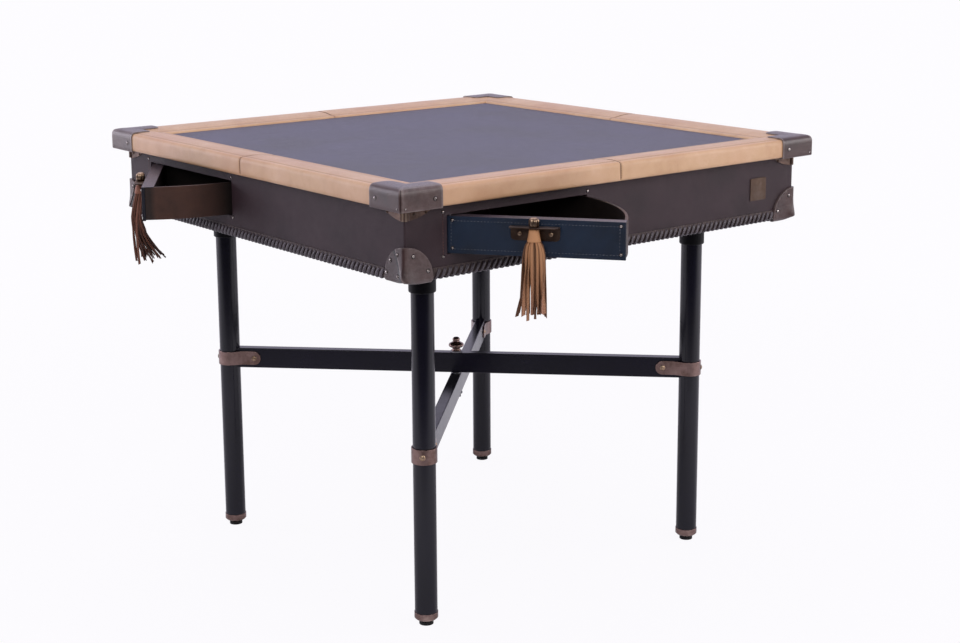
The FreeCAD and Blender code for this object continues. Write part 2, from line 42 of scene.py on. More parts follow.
# lengths below are millimetres; makePiece and grow turn them into metres
mm = 0.001
mergeWithin = 0.000002        # metres
sideAngle = {"front": 0, "right": 90, "back": 180, "left": 270}
table = {
    "half": 455.0,                # the middle to the rim's outer side
    "apronFace": 432.5,
    "apronBottom": 623.0,
    "pivot": (-341.5, -423.0),    # the front drawer's pin
    "drawerBottom": 657.0,
    "drawerTop": 713.5,
    "drawerRadius": 274.0,
    "opened": {"front": 52.2, "right": 32.4, "back": 52.2, "left": 32.4},    # degrees
}
rimHalf, apronFace = table["half"], table["apronFace"]
pivotX, pivotY = table["pivot"]


def turned(angle, x=0.0, y=0.0):
    about = Vector((x, y, 0))
    turn = Matrix.Rotation(math.radians(angle), 4, "Z")
    return Matrix.Translation(about) @ turn @ Matrix.Translation(-about)


def onSide(side):
    return turned(sideAngle[side])


def onDrawer(side):
    # a drawer is drawn shut on the front side, then swung open and carried to its own side
    return onSide(side) @ turned(-table["opened"][side], *table["pivot"])


def tone(code):
    # a hex colour as linear light
    parts = [int(code[i:i + 2], 16) / 255 for i in (1, 3, 5)]
    return tuple(p / 12.92 if p < 0.04045 else ((p + 0.055) / 1.055) ** 2.4 for p in parts) + (1.0,)


def addObject(name, data):
    made = bpy.data.objects.new(name, data)
    bpy.context.scene.collection.objects.link(made)
    return made


class Wire:
    # one output of a node; arithmetic on it adds Math nodes
    def __init__(self, nodes, socket):
        self.nodes = nodes
        self.socket = socket

    def other(self, name):
        # another output of the same node
        return Wire(self.nodes, self.socket.node.outputs[name])

    def math(self, operation, *values):
        return self.nodes.add("ShaderNodeMath", {"operation": operation}, dict(enumerate(values)))

    def __add__(self, other):
        return self.math("ADD", self, other)

    def __radd__(self, other):
        return self.math("ADD", other, self)

    def __sub__(self, other):
        return self.math("SUBTRACT", self, other)

    def __rsub__(self, other):
        return self.math("SUBTRACT", other, self)

    def __mul__(self, other):
        return self.math("MULTIPLY", self, other)

    def __rmul__(self, other):
        return self.math("MULTIPLY", other, self)

    def __neg__(self):
        return self.math("SUBTRACT", 0.0, self)

    def __abs__(self):
        return self.math("ABSOLUTE", self)


class Nodes:
    # a node tree; each node takes one call, with its settings first, then its sockets
    def __init__(self, tree):
        self.tree = tree

    def add(self, kind, settings=None, sockets=None, out=0):
        node = self.tree.nodes.new(kind)
        for key, value in (settings or {}).items():
            setattr(node, key, value)
        for key, value in (sockets or {}).items():
            self.feed(node.inputs[key], value)
        return Wire(self, node.outputs[out])

    def feed(self, socket, value):
        if isinstance(value, Wire):
            self.tree.links.new(value.socket, socket)
        else:
            socket.default_value = value

    def ramp(self, value, low, high, bottom=0.0, top=1.0):
        # smooth from bottom, at low and below it, to top
        return self.add("ShaderNodeMapRange", {"interpolation_type": "SMOOTHSTEP"},
                        {"Value": value, "From Min": low, "From Max": high,
                         "To Min": bottom, "To Max": top})

    def along(self, place, direction):
        return self.add("ShaderNodeVectorMath", {"operation": "DOT_PRODUCT"},
                        {0: place, 1: direction}, "Value")

    def blend(self, factor, first, second):
        return self.add("ShaderNodeMixShader", None, {0: factor, 1: first, 2: second})


class Finish(Nodes):
    # one procedural material
    def __init__(self, name):
        self.material = bpy.data.materials.new(name)
        self.material.use_nodes = True
        super().__init__(self.material.node_tree)
        self.shader = self.tree.nodes["Principled BSDF"]
        self.place = self.add("ShaderNodeTexCoord", out="Object")

    def mix(self, factor, first, second):
        return self.add("ShaderNodeMix", {"data_type": "RGBA"},
                        {0: factor, 6: first, 7: second}, 2)

    def cloud(self, scale, detail=3.0, rough=0.55, place=None):
        return self.add("ShaderNodeTexNoise", None,
                        {"Vector": place or self.place, "Scale": scale, "Detail": detail,
                         "Roughness": rough}, "Fac")

    def cells(self, scale, place=None):
        # how far each point is from the edge of its cell
        return self.add("ShaderNodeTexVoronoi", {"feature": "DISTANCE_TO_EDGE"},
                        {"Vector": place or self.place, "Scale": scale}, "Distance")

    def stretched(self, sizes, place=None):
        return self.add("ShaderNodeMapping", None,
                        {"Vector": place or self.place, "Scale": sizes})

    def marked(self, name):
        return self.add("ShaderNodeAttribute", {"attribute_name": name}, None, "Fac")

    def bump(self, height, distance):
        return self.add("ShaderNodeBump", None,
                        {"Height": height, "Distance": distance, "Strength": 1.0})

    def wear(self, **values):
        # the shader's own sockets, by name with spaces for underscores
        for key, value in values.items():
            self.feed(self.shader.inputs[key.replace("_", " ")], value)
        return self

    def colour(self):
        return Wire(self, self.shader.inputs["Base Color"].links[0].from_socket)


def leather(name, base, dark, light, grain=1150.0, depth=0.00016, rough=(0.42, 0.58),
            creases=0.25, mottle=22.0, specular=0.5):
    skin = Finish(name)
    broad = skin.cloud(mottle, 4.0, 0.6)
    fine = skin.cloud(mottle * 9, 3.0, 0.6)
    colour = skin.mix(skin.ramp(broad, 0.32, 0.55), tone(dark), tone(base))
    colour = skin.mix(skin.ramp(broad, 0.52, 0.78) * 0.8, colour, tone(light))
    colour = skin.mix(skin.ramp(fine, 0.5, 0.75) * 0.22, colour, tone(dark))
    valleys = skin.ramp(skin.cells(grain), 0.0, 0.16)
    # long creases, bent by a slow noise
    bent = skin.add("ShaderNodeTexNoise", None,
                    {"Vector": skin.place, "Scale": 34.0, "Detail": 2.0}, "Color")
    warp = skin.add("ShaderNodeVectorMath", {"operation": "ADD"}, {0: skin.place, 1: bent})
    crease = skin.ramp(skin.cells(46.0, skin.stretched((0.35, 0.35, 0.35), warp)), 0.0, 0.03)
    height = valleys * 0.5 + skin.cloud(grain * 0.45, 2.0) * 0.5 + crease * creases
    colour = skin.mix((1 - valleys) * 0.28, colour, tone(dark))
    roughness = rough[0] + (rough[1] - rough[0]) * fine + (1 - valleys) * 0.06
    return skin.wear(Base_Color=colour, Roughness=roughness, Normal=skin.bump(height, depth),
                     Specular_IOR_Level=specular)


def metal(name, base, dark, light, rough=(0.3, 0.48), scale=140.0, tarnish=0.0):
    plate = Finish(name)
    stain = plate.cloud(scale * 0.35, 4.0, 0.65)
    fine = plate.cloud(scale * 3.0, 3.0, 0.6)
    colour = plate.mix(plate.ramp(stain, 0.34, 0.56), tone(dark), tone(base))
    colour = plate.mix(plate.ramp(stain, 0.55, 0.75), colour, tone(light))
    brushed = plate.cloud(900.0, 3.0, 0.6, plate.stretched((1.0, 1.0, 0.06)))
    # tarnish dulls the metal in patches
    dull = plate.ramp(plate.cloud(scale * 0.6, 4.0, 0.7), 0.45, 0.7) * tarnish
    roughness = rough[0] + (rough[1] - rough[0]) * stain + fine * 0.08 + dull * 0.2
    return plate.wear(Base_Color=colour, Roughness=roughness, Metallic=1 - dull,
                      Normal=plate.bump(brushed * 0.6 + fine * 0.4, 0.00004))


def lacquer(name, base, dark, rough=(0.26, 0.36), specular=0.3):
    coat = Finish(name)
    speck = coat.cloud(600.0, 2.0)
    broad = coat.cloud(9.0, 3.0)
    dust = coat.cloud(60.0, 4.0, 0.7)
    colour = coat.mix(coat.ramp(broad, 0.3, 0.7), tone(dark), tone(base))
    colour = coat.mix(coat.ramp(dust, 0.6, 0.85) * 0.15, colour, tone("#181722"))
    return coat.wear(Base_Color=colour, Roughness=rough[0] + (rough[1] - rough[0]) * dust,
                     Normal=coat.bump(speck, 0.00002), Specular_IOR_Level=specular)


def wood(name, base, dark):
    board = Finish(name)
    rings = board.cloud(26.0, 5.0, 0.6, board.stretched((0.14, 1.0, 1.0)))
    pores = board.cloud(420.0, 3.0, 0.6, board.stretched((0.08, 1.0, 1.0)))
    colour = board.mix(board.ramp(rings, 0.35, 0.65), tone(dark), tone(base))
    colour = board.mix(board.ramp(pores, 0.55, 0.75) * 0.4, colour, tone(dark))
    return board.wear(Base_Color=colour, Roughness=0.5 + pores * 0.2,
                      Normal=board.bump(pores, 0.0001), Specular_IOR_Level=0.3)


def thread(name, base, dark, light):
    return leather(name, base, dark, light, grain=2600.0, rough=(0.5, 0.6), mottle=90.0)


def guardLeather():
    # moulded leather: paler where its attribute is over 0, for wear and painted highlights; nearly
    # black where it is under 0, for painted shade
    skin = leather("guardLeather", "#3f2a28", "#332221", "#4b3431", depth=0.00005,
                   rough=(0.24, 0.34), mottle=26.0, creases=0.0)
    wearAndShading = skin.marked("wearAndShading")
    patchy = skin.ramp(skin.cloud(110.0, 4.0, 0.65), 0.35, 0.7)
    # wear and painted highlight alike, broken into patches
    worn = skin.ramp(wearAndShading, 0.0, 1.0) * (0.5 + 0.5 * patchy)
    colour = skin.mix(worn, skin.colour(), tone("#877a78"))
    return skin.wear(Base_Color=skin.mix(skin.ramp(-wearAndShading, 0.0, 1.0), colour, tone("#161112")))


def rimLeather():
    # tan leather, darker where the rails' attribute marks it: a burnished line that is partly
    # painted shade, painted shade in the inner crease and the cross seam's groove, and the whole
    # top painted darker as painted shade
    skin = leather("rimLeather", "#cba47e", "#bd936d", "#dab896", grain=1300.0, depth=0.00010,
                   rough=(0.3, 0.42), mottle=15.0, creases=0.12, specular=0.6)
    uneven = 0.55 + 0.45 * skin.cloud(55.0, 4.0, 0.7)
    # redder and paler panels along each rail
    broad = skin.ramp(skin.cloud(5.0, 2.0, 0.5), 0.4, 0.62)
    colour = skin.mix(broad * 0.35, skin.colour(), tone("#c99a7c"))
    burnishedShaded = skin.marked("burnishAndShade") * uneven
    return skin.wear(Base_Color=skin.mix(burnishedShaded, colour, tone("#7d5640")))


def tasselLeather(name, base, dark, light, worn):
    # each strip has its own tone, its cut sides and the strips hung within the others are painted
    # darker as painted shade, and all turn darker and redder towards their tips
    skin = leather(name, base, base, light, grain=1500.0, rough=(0.42, 0.56), mottle=30.0,
                   creases=0.0, specular=0.4)
    fray = skin.cloud(900.0, 3.0, 0.6, skin.stretched((1.0, 1.0, 0.12)))
    colour = skin.mix(skin.marked("tip") * 0.75, skin.colour(), tone(worn))
    colour = skin.mix(skin.marked("strip") * 0.85, colour, tone(dark))
    return skin.wear(Base_Color=skin.mix(skin.ramp(fray, 0.6, 0.85) * 0.12, colour, tone(dark)))


def trayLeather():
    # painted shade: "deep" darkens the part of the wall that lives inside the box, where the box
    # shades it
    skin = leather("trayWallLeather", "#462b20", "#301d15", "#593c2c", rough=(0.34, 0.46),
                   mottle=12.0, creases=0.0, specular=0.38)
    return skin.wear(Base_Color=skin.mix(skin.marked("deep"), skin.colour(), tone("#0f0907")))


def bracketBrass():
    # thin brass, with a painted highlight beside the fold that runs down each corner, where its
    # ridges catch the light
    skin = metal("bracketBrass", "#64524a", "#4a3c35", "#84705f", rough=(0.3, 0.44), tarnish=0.55)
    at = skin.add("ShaderNodeSeparateXYZ", None, {0: skin.place})
    off = abs(abs(at.other("X")) - abs(at.other("Y")))
    fold = skin.ramp(off, 0.0, 0.0025) * (1 - skin.ramp(off, 0.0035, 0.009))
    return skin.wear(Base_Color=skin.mix(fold * 0.8, skin.colour(), tone("#c9b19c")))


finishes = {
    "apron": leather("apronLeather", "#35262b", "#2b1f23", "#403035", rough=(0.48, 0.6),
                     mottle=9.0, creases=0.1, specular=0.3),
    "trim": leather("trimLeather", "#4a3d3b", "#372d2c", "#5e5350", rough=(0.4, 0.55),
                    mottle=30.0, specular=0.35),
    "lace": leather("laceLeather", "#423940", "#322a30", "#5a5159", rough=(0.24, 0.36),
                    mottle=60.0, creases=0.0),
    "play": leather("playLeather", "#272742", "#1f1f34", "#31304f", grain=900.0,
                    depth=0.0001, rough=(0.4, 0.48), mottle=6.0, creases=0.5, specular=0.62),
    "inside": leather("insideLeather", "#1c1513", "#120d0c", "#281f1c", rough=(0.5, 0.62),
                      mottle=12.0, creases=0.0, specular=0.25),
    # painted sheen: a paler plum leather for the drawer fronts' top faces
    "edge": leather("edgeLeather", "#4a3f49", "#383037", "#5c515b", rough=(0.28, 0.4),
                    mottle=24.0, creases=0.0, specular=0.6),
    # painted shade: a darker copy of the panel's navy for the fronts' free ends and back faces
    "panelInShade": leather("navyEdgeLeather", "#12141f", "#0d0e16", "#1d2030", rough=(0.34, 0.46),
                        mottle=24.0, creases=0.0, specular=0.35),
    "panel": leather("panelLeather", "#0d2138", "#091727", "#142b43", rough=(0.34, 0.46),
                     mottle=9.0, creases=0.1, specular=0.35),
    # painted shadow: the dark discs round the nail heads
    "socket": leather("nailSocket", "#1c1718", "#120e10", "#2a2425", rough=(0.5, 0.6),
                      mottle=90.0, specular=0.2),
    "guard": guardLeather(),
    "rim": rimLeather(),
    "tray": trayLeather(),
    "tassel": tasselLeather("tasselLeather", "#c48e63", "#4d2f1c", "#dba979", "#a27362"),
    "tasselRed": tasselLeather("tasselRedLeather", "#925e4b", "#25150e", "#b07a63", "#422a21"),
    "thread": thread("waxedThread", "#6d7078", "#4a4d55", "#8f929a"),
    "darkThread": thread("darkThread", "#6d4a38", "#482f23", "#8a6049"),
    "apronThread": thread("apronThread", "#6a443f", "#4b2f2d", "#84605a"),
    "brass": metal("agedBrass", "#a89078", "#6f5b49", "#d2bda2", rough=(0.18, 0.34)),
    "bracket": bracketBrass(),
    "plate": metal("plateBrass", "#55453b", "#493a32", "#66564a", rough=(0.38, 0.5),
                   scale=60.0, tarnish=0.6),
    "bronze": metal("bronze", "#87706a", "#6a554d", "#a68f86", rough=(0.14, 0.24), scale=90.0),
    "pull": metal("pullBronze", "#54443a", "#43362e", "#6b584a", rough=(0.26, 0.4),
                  scale=80.0, tarnish=0.3),
    "nail": metal("nailSteel", "#a49c97", "#5b5350", "#e3ddd9", rough=(0.14, 0.26),
                  scale=500.0),
    "steel": metal("boltSteel", "#8c8b90", "#5d5c61", "#b9b8bd", rough=(0.26, 0.4)),
    "tube": lacquer("tubeLacquer", "#0a0917", "#070611", rough=(0.14, 0.22), specular=0.4),
    "bar": lacquer("barLacquer", "#0f0d1c", "#0a0915", rough=(0.16, 0.26), specular=0.24),
    "collar": lacquer("collarLacquer", "#0a090e", "#060508", rough=(0.34, 0.44),
                      specular=0.15),
    "glide": lacquer("glideRubber", "#0c0c0e", "#060607", rough=(0.5, 0.62)),
    "wood": wood("stainedWood", "#2b201a", "#18110e"),
}
print("materials:", len(finishes))


def makePiece(name, body, points, faces, finish, place=None, replaces=(), sharp=38.0,
              layers=None, kinds=None, bevel=None, thick=None):
    # finish is one name or several, then kinds gives each face's
    place = place or Matrix.Identity(4)
    mesh = bpy.data.meshes.new(name)
    mesh.from_pydata([(place @ Vector(p)) * mm for p in points], [], faces)
    for each in ([finish] if isinstance(finish, str) else finish):
        mesh.materials.append(finishes[each].material)
    if kinds:
        mesh.polygons.foreach_set("material_index", kinds)
    for key, values in (layers or {}).items():
        mesh.attributes.new(key, "FLOAT", "POINT").data.foreach_set("value", values)
    tidied = bmesh.new()
    tidied.from_mesh(mesh)
    bmesh.ops.remove_doubles(tidied, verts=tidied.verts, dist=mergeWithin)
    bmesh.ops.dissolve_degenerate(tidied, edges=tidied.edges, dist=mergeWithin)
    bmesh.ops.recalc_face_normals(tidied, faces=tidied.faces)
    tidied.to_mesh(mesh)
    tidied.free()
    return finishPiece(name, mesh, body, replaces, sharp, bevel, thick)


def finishPiece(name, mesh, body, replaces=(), sharp=38.0, bevel=None, thick=None):
    piece = placePiece(name, mesh, sharp)
    if thick:
        shell = piece.modifiers.new("thickness", "SOLIDIFY")
        shell.thickness = thick * mm
        shell.offset = -1.0
    if bevel:
        soft = piece.modifiers.new("softEdges", "BEVEL")
        soft.width = bevel * mm
        soft.segments = 3
        soft.limit_method = "ANGLE"
        soft.angle_limit = math.radians(40)
        soft.harden_normals = True
    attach(piece, body)
    if replaces:
        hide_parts(*replaces)
    return piece


def placePiece(name, mesh, sharp):
    mesh.shade_smooth()
    mesh.set_sharp_from_angle(angle=math.radians(sharp))
    return addObject(name, mesh)


def soften(name, node, body, finish, bevel, reshape=None):
    # a CAD piece again with its faces merged, so that its edges can be rounded
    merged = bmesh.new()
    merged.from_mesh(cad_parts[node].data)
    bmesh.ops.remove_doubles(merged, verts=merged.verts, dist=mergeWithin)
    bmesh.ops.dissolve_limit(merged, angle_limit=math.radians(0.6), verts=merged.verts,
                             edges=merged.edges)
    for face in merged.faces:
        face.material_index = 0
    for vert in merged.verts if reshape else ():
        vert.co = reshape(vert.co)
    mesh = bpy.data.meshes.new(name)
    merged.to_mesh(mesh)
    merged.free()
    if "custom_normal" in mesh.attributes:
        mesh.attributes.remove(mesh.attributes["custom_normal"])
    mesh.materials.append(finishes[finish].material)
    return finishPiece(name, mesh, body, [node], 32.0, bevel)


def loft(rings):
    # quads between closed rings of equal length, and a face over each end
    count = len(rings[0])
    points = [p for ring in rings for p in ring]
    faces = []
    for low in range(0, len(points) - count, count):
        for i in range(count):
            j = (i + 1) % count
            faces.append((low + i, low + j, low + count + j, low + count + i))
    faces.append(tuple(reversed(range(count))))
    faces.append(tuple(range(len(points) - count, len(points))))
    return points, faces


def gather(shells):
    # several (points, faces) as one
    points, faces = [], []
    for morePoints, moreFaces in shells:
        start = len(points)
        points += morePoints
        faces += [tuple(start + i for i in face) for face in moreFaces]
    return points, faces


def lathe(profile, x, y, steps, radiusAt=None):
    rings = []
    for radius, z in profile:
        ring = []
        for i in range(steps):
            angle = 2 * math.pi * i / steps
            r = radius * (radiusAt(angle) if radiusAt else 1.0)
            ring.append((x + r * math.cos(angle), y + r * math.sin(angle), z))
        rings.append(ring)
    return loft(rings)


def prism(outline, z0, z1):
    return loft([[(x, y, z0) for x, y in outline], [(x, y, z1) for x, y in outline]])


def arc(cx, cy, radius, start, end, steps):
    angles = [math.radians(start + (end - start) * i / steps) for i in range(steps + 1)]
    return [(cx + radius * math.cos(a), cy + radius * math.sin(a)) for a in angles]


def smoothed(points, steps):
    # a Catmull-Rom line through the points
    out = []
    for i in range(len(points) - 1):
        a, b = Vector(points[max(i - 1, 0)]), Vector(points[i])
        c, d = Vector(points[i + 1]), Vector(points[min(i + 2, len(points) - 1)])
        for s in range(steps):
            t = s / steps
            out.append(0.5 * (2 * b + (c - a) * t + (2 * a - 5 * b + 4 * c - d) * t * t
                              + (3 * b - a - 3 * c + d) * t ** 3))
    out.append(Vector(points[-1]))
    return out


def bell(distance, width):
    return math.exp(-(distance / width) ** 2)


class Recipe(Nodes):
    # a geometry node tree with named inputs, for what repeats
    def __init__(self, name, inputs):
        super().__init__(bpy.data.node_groups.new(name, "GeometryNodeTree"))
        face = self.tree.interface
        face.new_socket("Geometry", in_out="INPUT", socket_type="NodeSocketGeometry")
        for key, kind in inputs.items():
            face.new_socket(key, in_out="INPUT", socket_type="NodeSocket" + kind)
        face.new_socket("Geometry", in_out="OUTPUT", socket_type="NodeSocketGeometry")
        self.given = self.add("NodeGroupInput").other
        self.exit = self.tree.nodes.new("NodeGroupOutput")

    def vector(self, x, y, z):
        return self.add("ShaderNodeCombineXYZ", None, {0: x, 1: y, 2: z})

    def moved(self, shape, **changes):
        return self.add("GeometryNodeTransform", None, {"Geometry": shape, **changes})

    def close(self, shape):
        # the shape at each point, turned as the point says, made real and given its finish
        turn = self.add("GeometryNodeInputNamedAttribute", {"data_type": "FLOAT_VECTOR"},
                        {"Name": "turn"})
        turn = self.add("FunctionNodeEulerToRotation", None, {0: turn})
        placed = self.add("GeometryNodeInstanceOnPoints", None,
                          {"Points": self.given("Geometry"), "Instance": shape,
                           "Rotation": turn})
        real = self.add("GeometryNodeRealizeInstances", None, {0: placed})
        done = self.add("GeometryNodeSetMaterial", None,
                        {"Geometry": real, "Material": self.given("Finish")})
        self.feed(self.exit.inputs[0], done)
        return self.tree


def studRecipe():
    # a domed head, its foot sunk in the surface
    tree = Recipe("studs", {"Radius": "Float", "Rise": "Float", "Finish": "Material"})
    ball = tree.add("GeometryNodeMeshUVSphere", None, {"Segments": 14, "Rings": 8, "Radius": 1.0})
    radius = tree.given("Radius")
    return tree.close(tree.moved(ball, Scale=tree.vector(radius, radius, tree.given("Rise"))))


def stitchRecipe():
    # a plump thread stitch, lying along its own X
    tree = Recipe("stitches", {"Length": "Float", "Width": "Float", "Rise": "Float",
                               "Finish": "Material"})
    ball = tree.add("GeometryNodeMeshUVSphere", None, {"Segments": 8, "Rings": 6, "Radius": 0.5})
    lying = tree.moved(ball, Rotation=(0.0, math.pi / 2, 0.0))
    size = tree.vector(tree.given("Length"), tree.given("Width"), tree.given("Rise"))
    return tree.close(tree.moved(lying, Scale=size))


def screwRecipe():
    # a domed head with a slot cut across it
    tree = Recipe("screws", {"Radius": "Float", "Rise": "Float", "Finish": "Material"})
    ball = tree.add("GeometryNodeMeshUVSphere", None, {"Segments": 20, "Rings": 8, "Radius": 1.0})
    radius, rise = tree.given("Radius"), tree.given("Rise")
    dome = tree.moved(ball, Scale=tree.vector(radius, radius, rise))
    cutter = tree.add("GeometryNodeMeshCube", None,
                      {"Size": tree.vector(radius * 2.4, radius * 0.36, rise)})
    lifted = tree.moved(cutter, Translation=tree.vector(0.0, 0.0, rise))
    return tree.close(tree.add("GeometryNodeMeshBoolean", {"operation": "DIFFERENCE"},
                               {"Mesh 1": dome, "Mesh 2": lifted}))


def lacingRecipe():
    # a row of turns of a lace along an edge
    tree = Recipe("lacing", {"Turn": "Object", "Start": "Float", "Turns": "Int",
                             "Pitch": "Float", "Finish": "Material"})
    turn = tree.add("GeometryNodeObjectInfo", None, {"Object": tree.given("Turn")}, "Geometry")
    row = tree.add("GeometryNodeMeshLine", None,
                   {"Count": tree.given("Turns"),
                    "Start Location": tree.vector(tree.given("Start"), 0.0, 0.0),
                    "Offset": tree.vector(tree.given("Pitch"), 0.0, 0.0)})
    return tree.close(tree.add("GeometryNodeInstanceOnPoints", None,
                               {"Points": row, "Instance": turn}))


recipes = {"studs": studRecipe(), "stitches": stitchRecipe(), "screws": screwRecipe(),
           "lacing": lacingRecipe()}


def grow(name, body, slot, recipe, spots, **inputs):
    # spots are (point, 3x3 rotation), inputs are metres; the tree's result becomes a plain mesh
    mesh = bpy.data.meshes.new(name + "Points")
    mesh.from_pydata([Vector(p) * mm for p, _ in spots], [], [])
    turns = mesh.attributes.new("turn", "FLOAT_VECTOR", "POINT")
    turns.data.foreach_set("vector", [v for _, m in spots for v in m.to_euler("XYZ")])
    seed = addObject(name + "Seed", mesh)
    maker = seed.modifiers.new("recipe", "NODES")
    maker.node_group = recipes[recipe]
    ids = {item.name: item.identifier for item in recipes[recipe].interface.items_tree
           if item.item_type == "SOCKET" and item.in_out == "INPUT"}
    for key, value in inputs.items():
        maker[ids[key]] = finishes[value].material if key == "Finish" else value
    depsgraph = bpy.context.evaluated_depsgraph_get()
    result = bpy.data.meshes.new_from_object(seed.evaluated_get(depsgraph), depsgraph=depsgraph)
    result.name = name
    seed.modifiers.remove(maker)
    bpy.data.objects.remove(seed)
    if "turn" in result.attributes:
        result.attributes.remove(result.attributes["turn"])
    piece = placePiece(name, result, 50)
    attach(piece, body)


def facing(normal, along):
    # a rotation whose Z is the normal and whose X runs near along
    z = Vector(normal).normalized()
    x = Vector(along) - z * Vector(along).dot(z)
    x = x.normalized() if x.length > 1e-6 else z.orthogonal().normalized()
    return Matrix((x, z.cross(x), z)).transposed()


def spot(place, point, normal, along=(0, 0, 1)):
    return place @ Vector(point), place.to_3x3() @ facing(normal, along)


def sew(name, body, slot, spots, size, finish):
    # a row of stitches; the size is how long, wide and high each is
    far, wide, high = (each * mm for each in size)
    grow(name, body, slot, "stitches", spots, Length=far, Width=wide, Rise=high, Finish=finish)


def nails(name, body, spots, size):
    # polished heads, each in a dark disc that is a little wider and much flatter, a painted shadow
    # round the head
    radius, rise = size
    grow(name, body, "brass", "studs", spots, Radius=radius * mm, Rise=rise * mm, Finish="nail")
    grow(name + "Dimples", body, "brass", "studs", spots, Radius=radius * 1.32 * mm,
         Rise=rise * 0.26 * mm, Finish="socket")


white = (1.0, 1.0, 1.0, 1.0)
studio = {
    "at": (-1.9140, -2.4604, 1.1815), "yaw": 38.768, "pitch": -11.661, "roll": -0.313,
    "lens": 64.35, "shift": (-0.0016, -0.0693),
    # each lamp: where it stands, what it points at, its size, its power, its colour
    "lamps": (("leftLamp", (-3.0, -2.2, 2.6), (0, 0, 0.6), 2.2, 50.0, (1.0, 0.97, 0.97)),
              ("frontLamp", (0.6, -3.8, 2.2), (0, 0, 0.6), 2.4, 44.0, (1.0, 0.98, 0.95)),
              ("rightLamp", (3.0, -2.4, 1.4), (0, 0, 0.6), 1.7, 42.0, (1.0, 0.96, 0.96)),
              ("topLamp", (0.4, 0.8, 3.4), (0, 0, 0.7), 2.6, 38.0, (0.96, 0.94, 1.0)),
              ("backLamp", (-2.4, 3.1, 1.3), (0, 0, 0.7), 2.0, 46.0, (0.93, 0.9, 1.0))),
    "worldTint": (0.94, 0.91, 1.0, 1.0), "worldLevel": 0.42,
    "brightSide": (0.62, 0.78, 0.1),      # shiny surfaces see this side of the studio bright
    "shineTint": (0.84, 0.79, 1.0, 1.0),
    "shineFrom": (-0.75, 0.6), "shineLevel": (0.16, 1.0),
    "floorHalf": 30.0,
    "sweep": (-1.85, -0.85),              # where the pale paper begins, along the bright side
    "paper": ("#4c4b52", "#f2f1f6"),      # the floor before it, and the paper
    "floorTint": (0.985, 0.975, 1.0, 1.0),
    "floorWhite": (0.955, 1.0),           # how white the floor is seen, near the table and far
    "floorWhiteFrom": (0.9, 2.6),
}


def setCamera():
    yaw, pitch, roll = (math.radians(studio[k]) for k in ("yaw", "pitch", "roll"))
    forward = Vector((math.cos(pitch) * math.sin(yaw), math.cos(pitch) * math.cos(yaw),
                      math.sin(pitch)))
    right = forward.cross(Vector((0, 0, 1))).normalized()
    up = right.cross(forward)
    right, up = (math.cos(roll) * right + math.sin(roll) * up,
                 math.cos(roll) * up - math.sin(roll) * right)
    lens = bpy.data.cameras.new("camera")
    lens.lens = studio["lens"]
    lens.sensor_width = 36.0
    lens.shift_x, lens.shift_y = studio["shift"]
    lens.clip_end = 100.0
    camera = addObject("camera", lens)
    turn = Matrix((right, up, -forward)).transposed().to_4x4()
    camera.matrix_world = Matrix.Translation(studio["at"]) @ turn
    bpy.context.scene.camera = camera
    bpy.context.scene.view_settings.view_transform = "Standard"


def layFloor():
    far = studio["floorHalf"]
    floor = bpy.data.meshes.new("floor")
    floor.from_pydata([(-far, -far, 0), (far, -far, 0), (far, far, 0), (-far, far, 0)], [],
                      [(0, 1, 2, 3)])
    paper = Finish("paper")
    # the pale sweep lies under and behind the table, and ends a little before it
    sweep = paper.ramp(paper.along(paper.place, studio["brightSide"]), *studio["sweep"])
    paper.wear(Base_Color=paper.mix(sweep, *map(tone, studio["paper"])), Roughness=0.9,
               Specular_IOR_Level=0.1)
    # seen straight, it is a white ground that keeps the shadows
    ray = paper.add("ShaderNodeLightPath", out="Is Camera Ray")
    away = paper.add("ShaderNodeVectorMath", {"operation": "LENGTH"}, {0: paper.place}, "Value")
    near, beyond = studio["floorWhite"]
    seen = near + (beyond - near) * paper.ramp(away, *studio["floorWhiteFrom"])
    glow = paper.add("ShaderNodeEmission", None, {"Color": studio["floorTint"], "Strength": 1.0})
    both = paper.blend(ray * seen, Wire(paper, paper.shader.outputs[0]), glow)
    paper.feed(paper.tree.nodes["Material Output"].inputs[0], both)
    floor.materials.append(paper.material)
    ground = addObject("floor", floor)


def lightStudio():
    world = bpy.data.worlds.new("studio")
    world.use_nodes = True
    bpy.context.scene.world = world
    sky = Nodes(world.node_tree)
    plain = sky.tree.nodes["Background"]
    plain.inputs["Color"].default_value = studio["worldTint"]
    plain.inputs["Strength"].default_value = studio["worldLevel"]
    # shiny surfaces see a white backdrop behind the table, and a dim room before it
    aim = sky.add("ShaderNodeTexCoord", out="Generated")
    level = sky.ramp(sky.along(aim, studio["brightSide"]), *studio["shineFrom"],
                     *studio["shineLevel"])
    rays, seen = sky.add("ShaderNodeLightPath"), Wire(sky, plain.outputs[0])
    for ray, tint, strength in (("Is Glossy Ray", studio["shineTint"], level),
                                ("Is Transmission Ray", white, 1.0), ("Is Camera Ray", white, 1.0)):
        room = sky.add("ShaderNodeBackground", None, {"Color": tint, "Strength": strength})
        seen = sky.blend(rays.other(ray), seen, room)
    sky.feed(sky.tree.nodes["World Output"].inputs[0], seen)
    for name, at, aim, size, power, colour in studio["lamps"]:
        light = bpy.data.lights.new(name, "AREA")
        light.size = size
        light.energy = power
        light.color = colour
        lamp = addObject(name, light)
        lamp.location = at
        lamp.rotation_euler = (Vector(aim) - Vector(at)).to_track_quat("-Z", "Y").to_euler()


setCamera()
layFloor()
lightStudio()
print("stage: camera, floor, lamps")


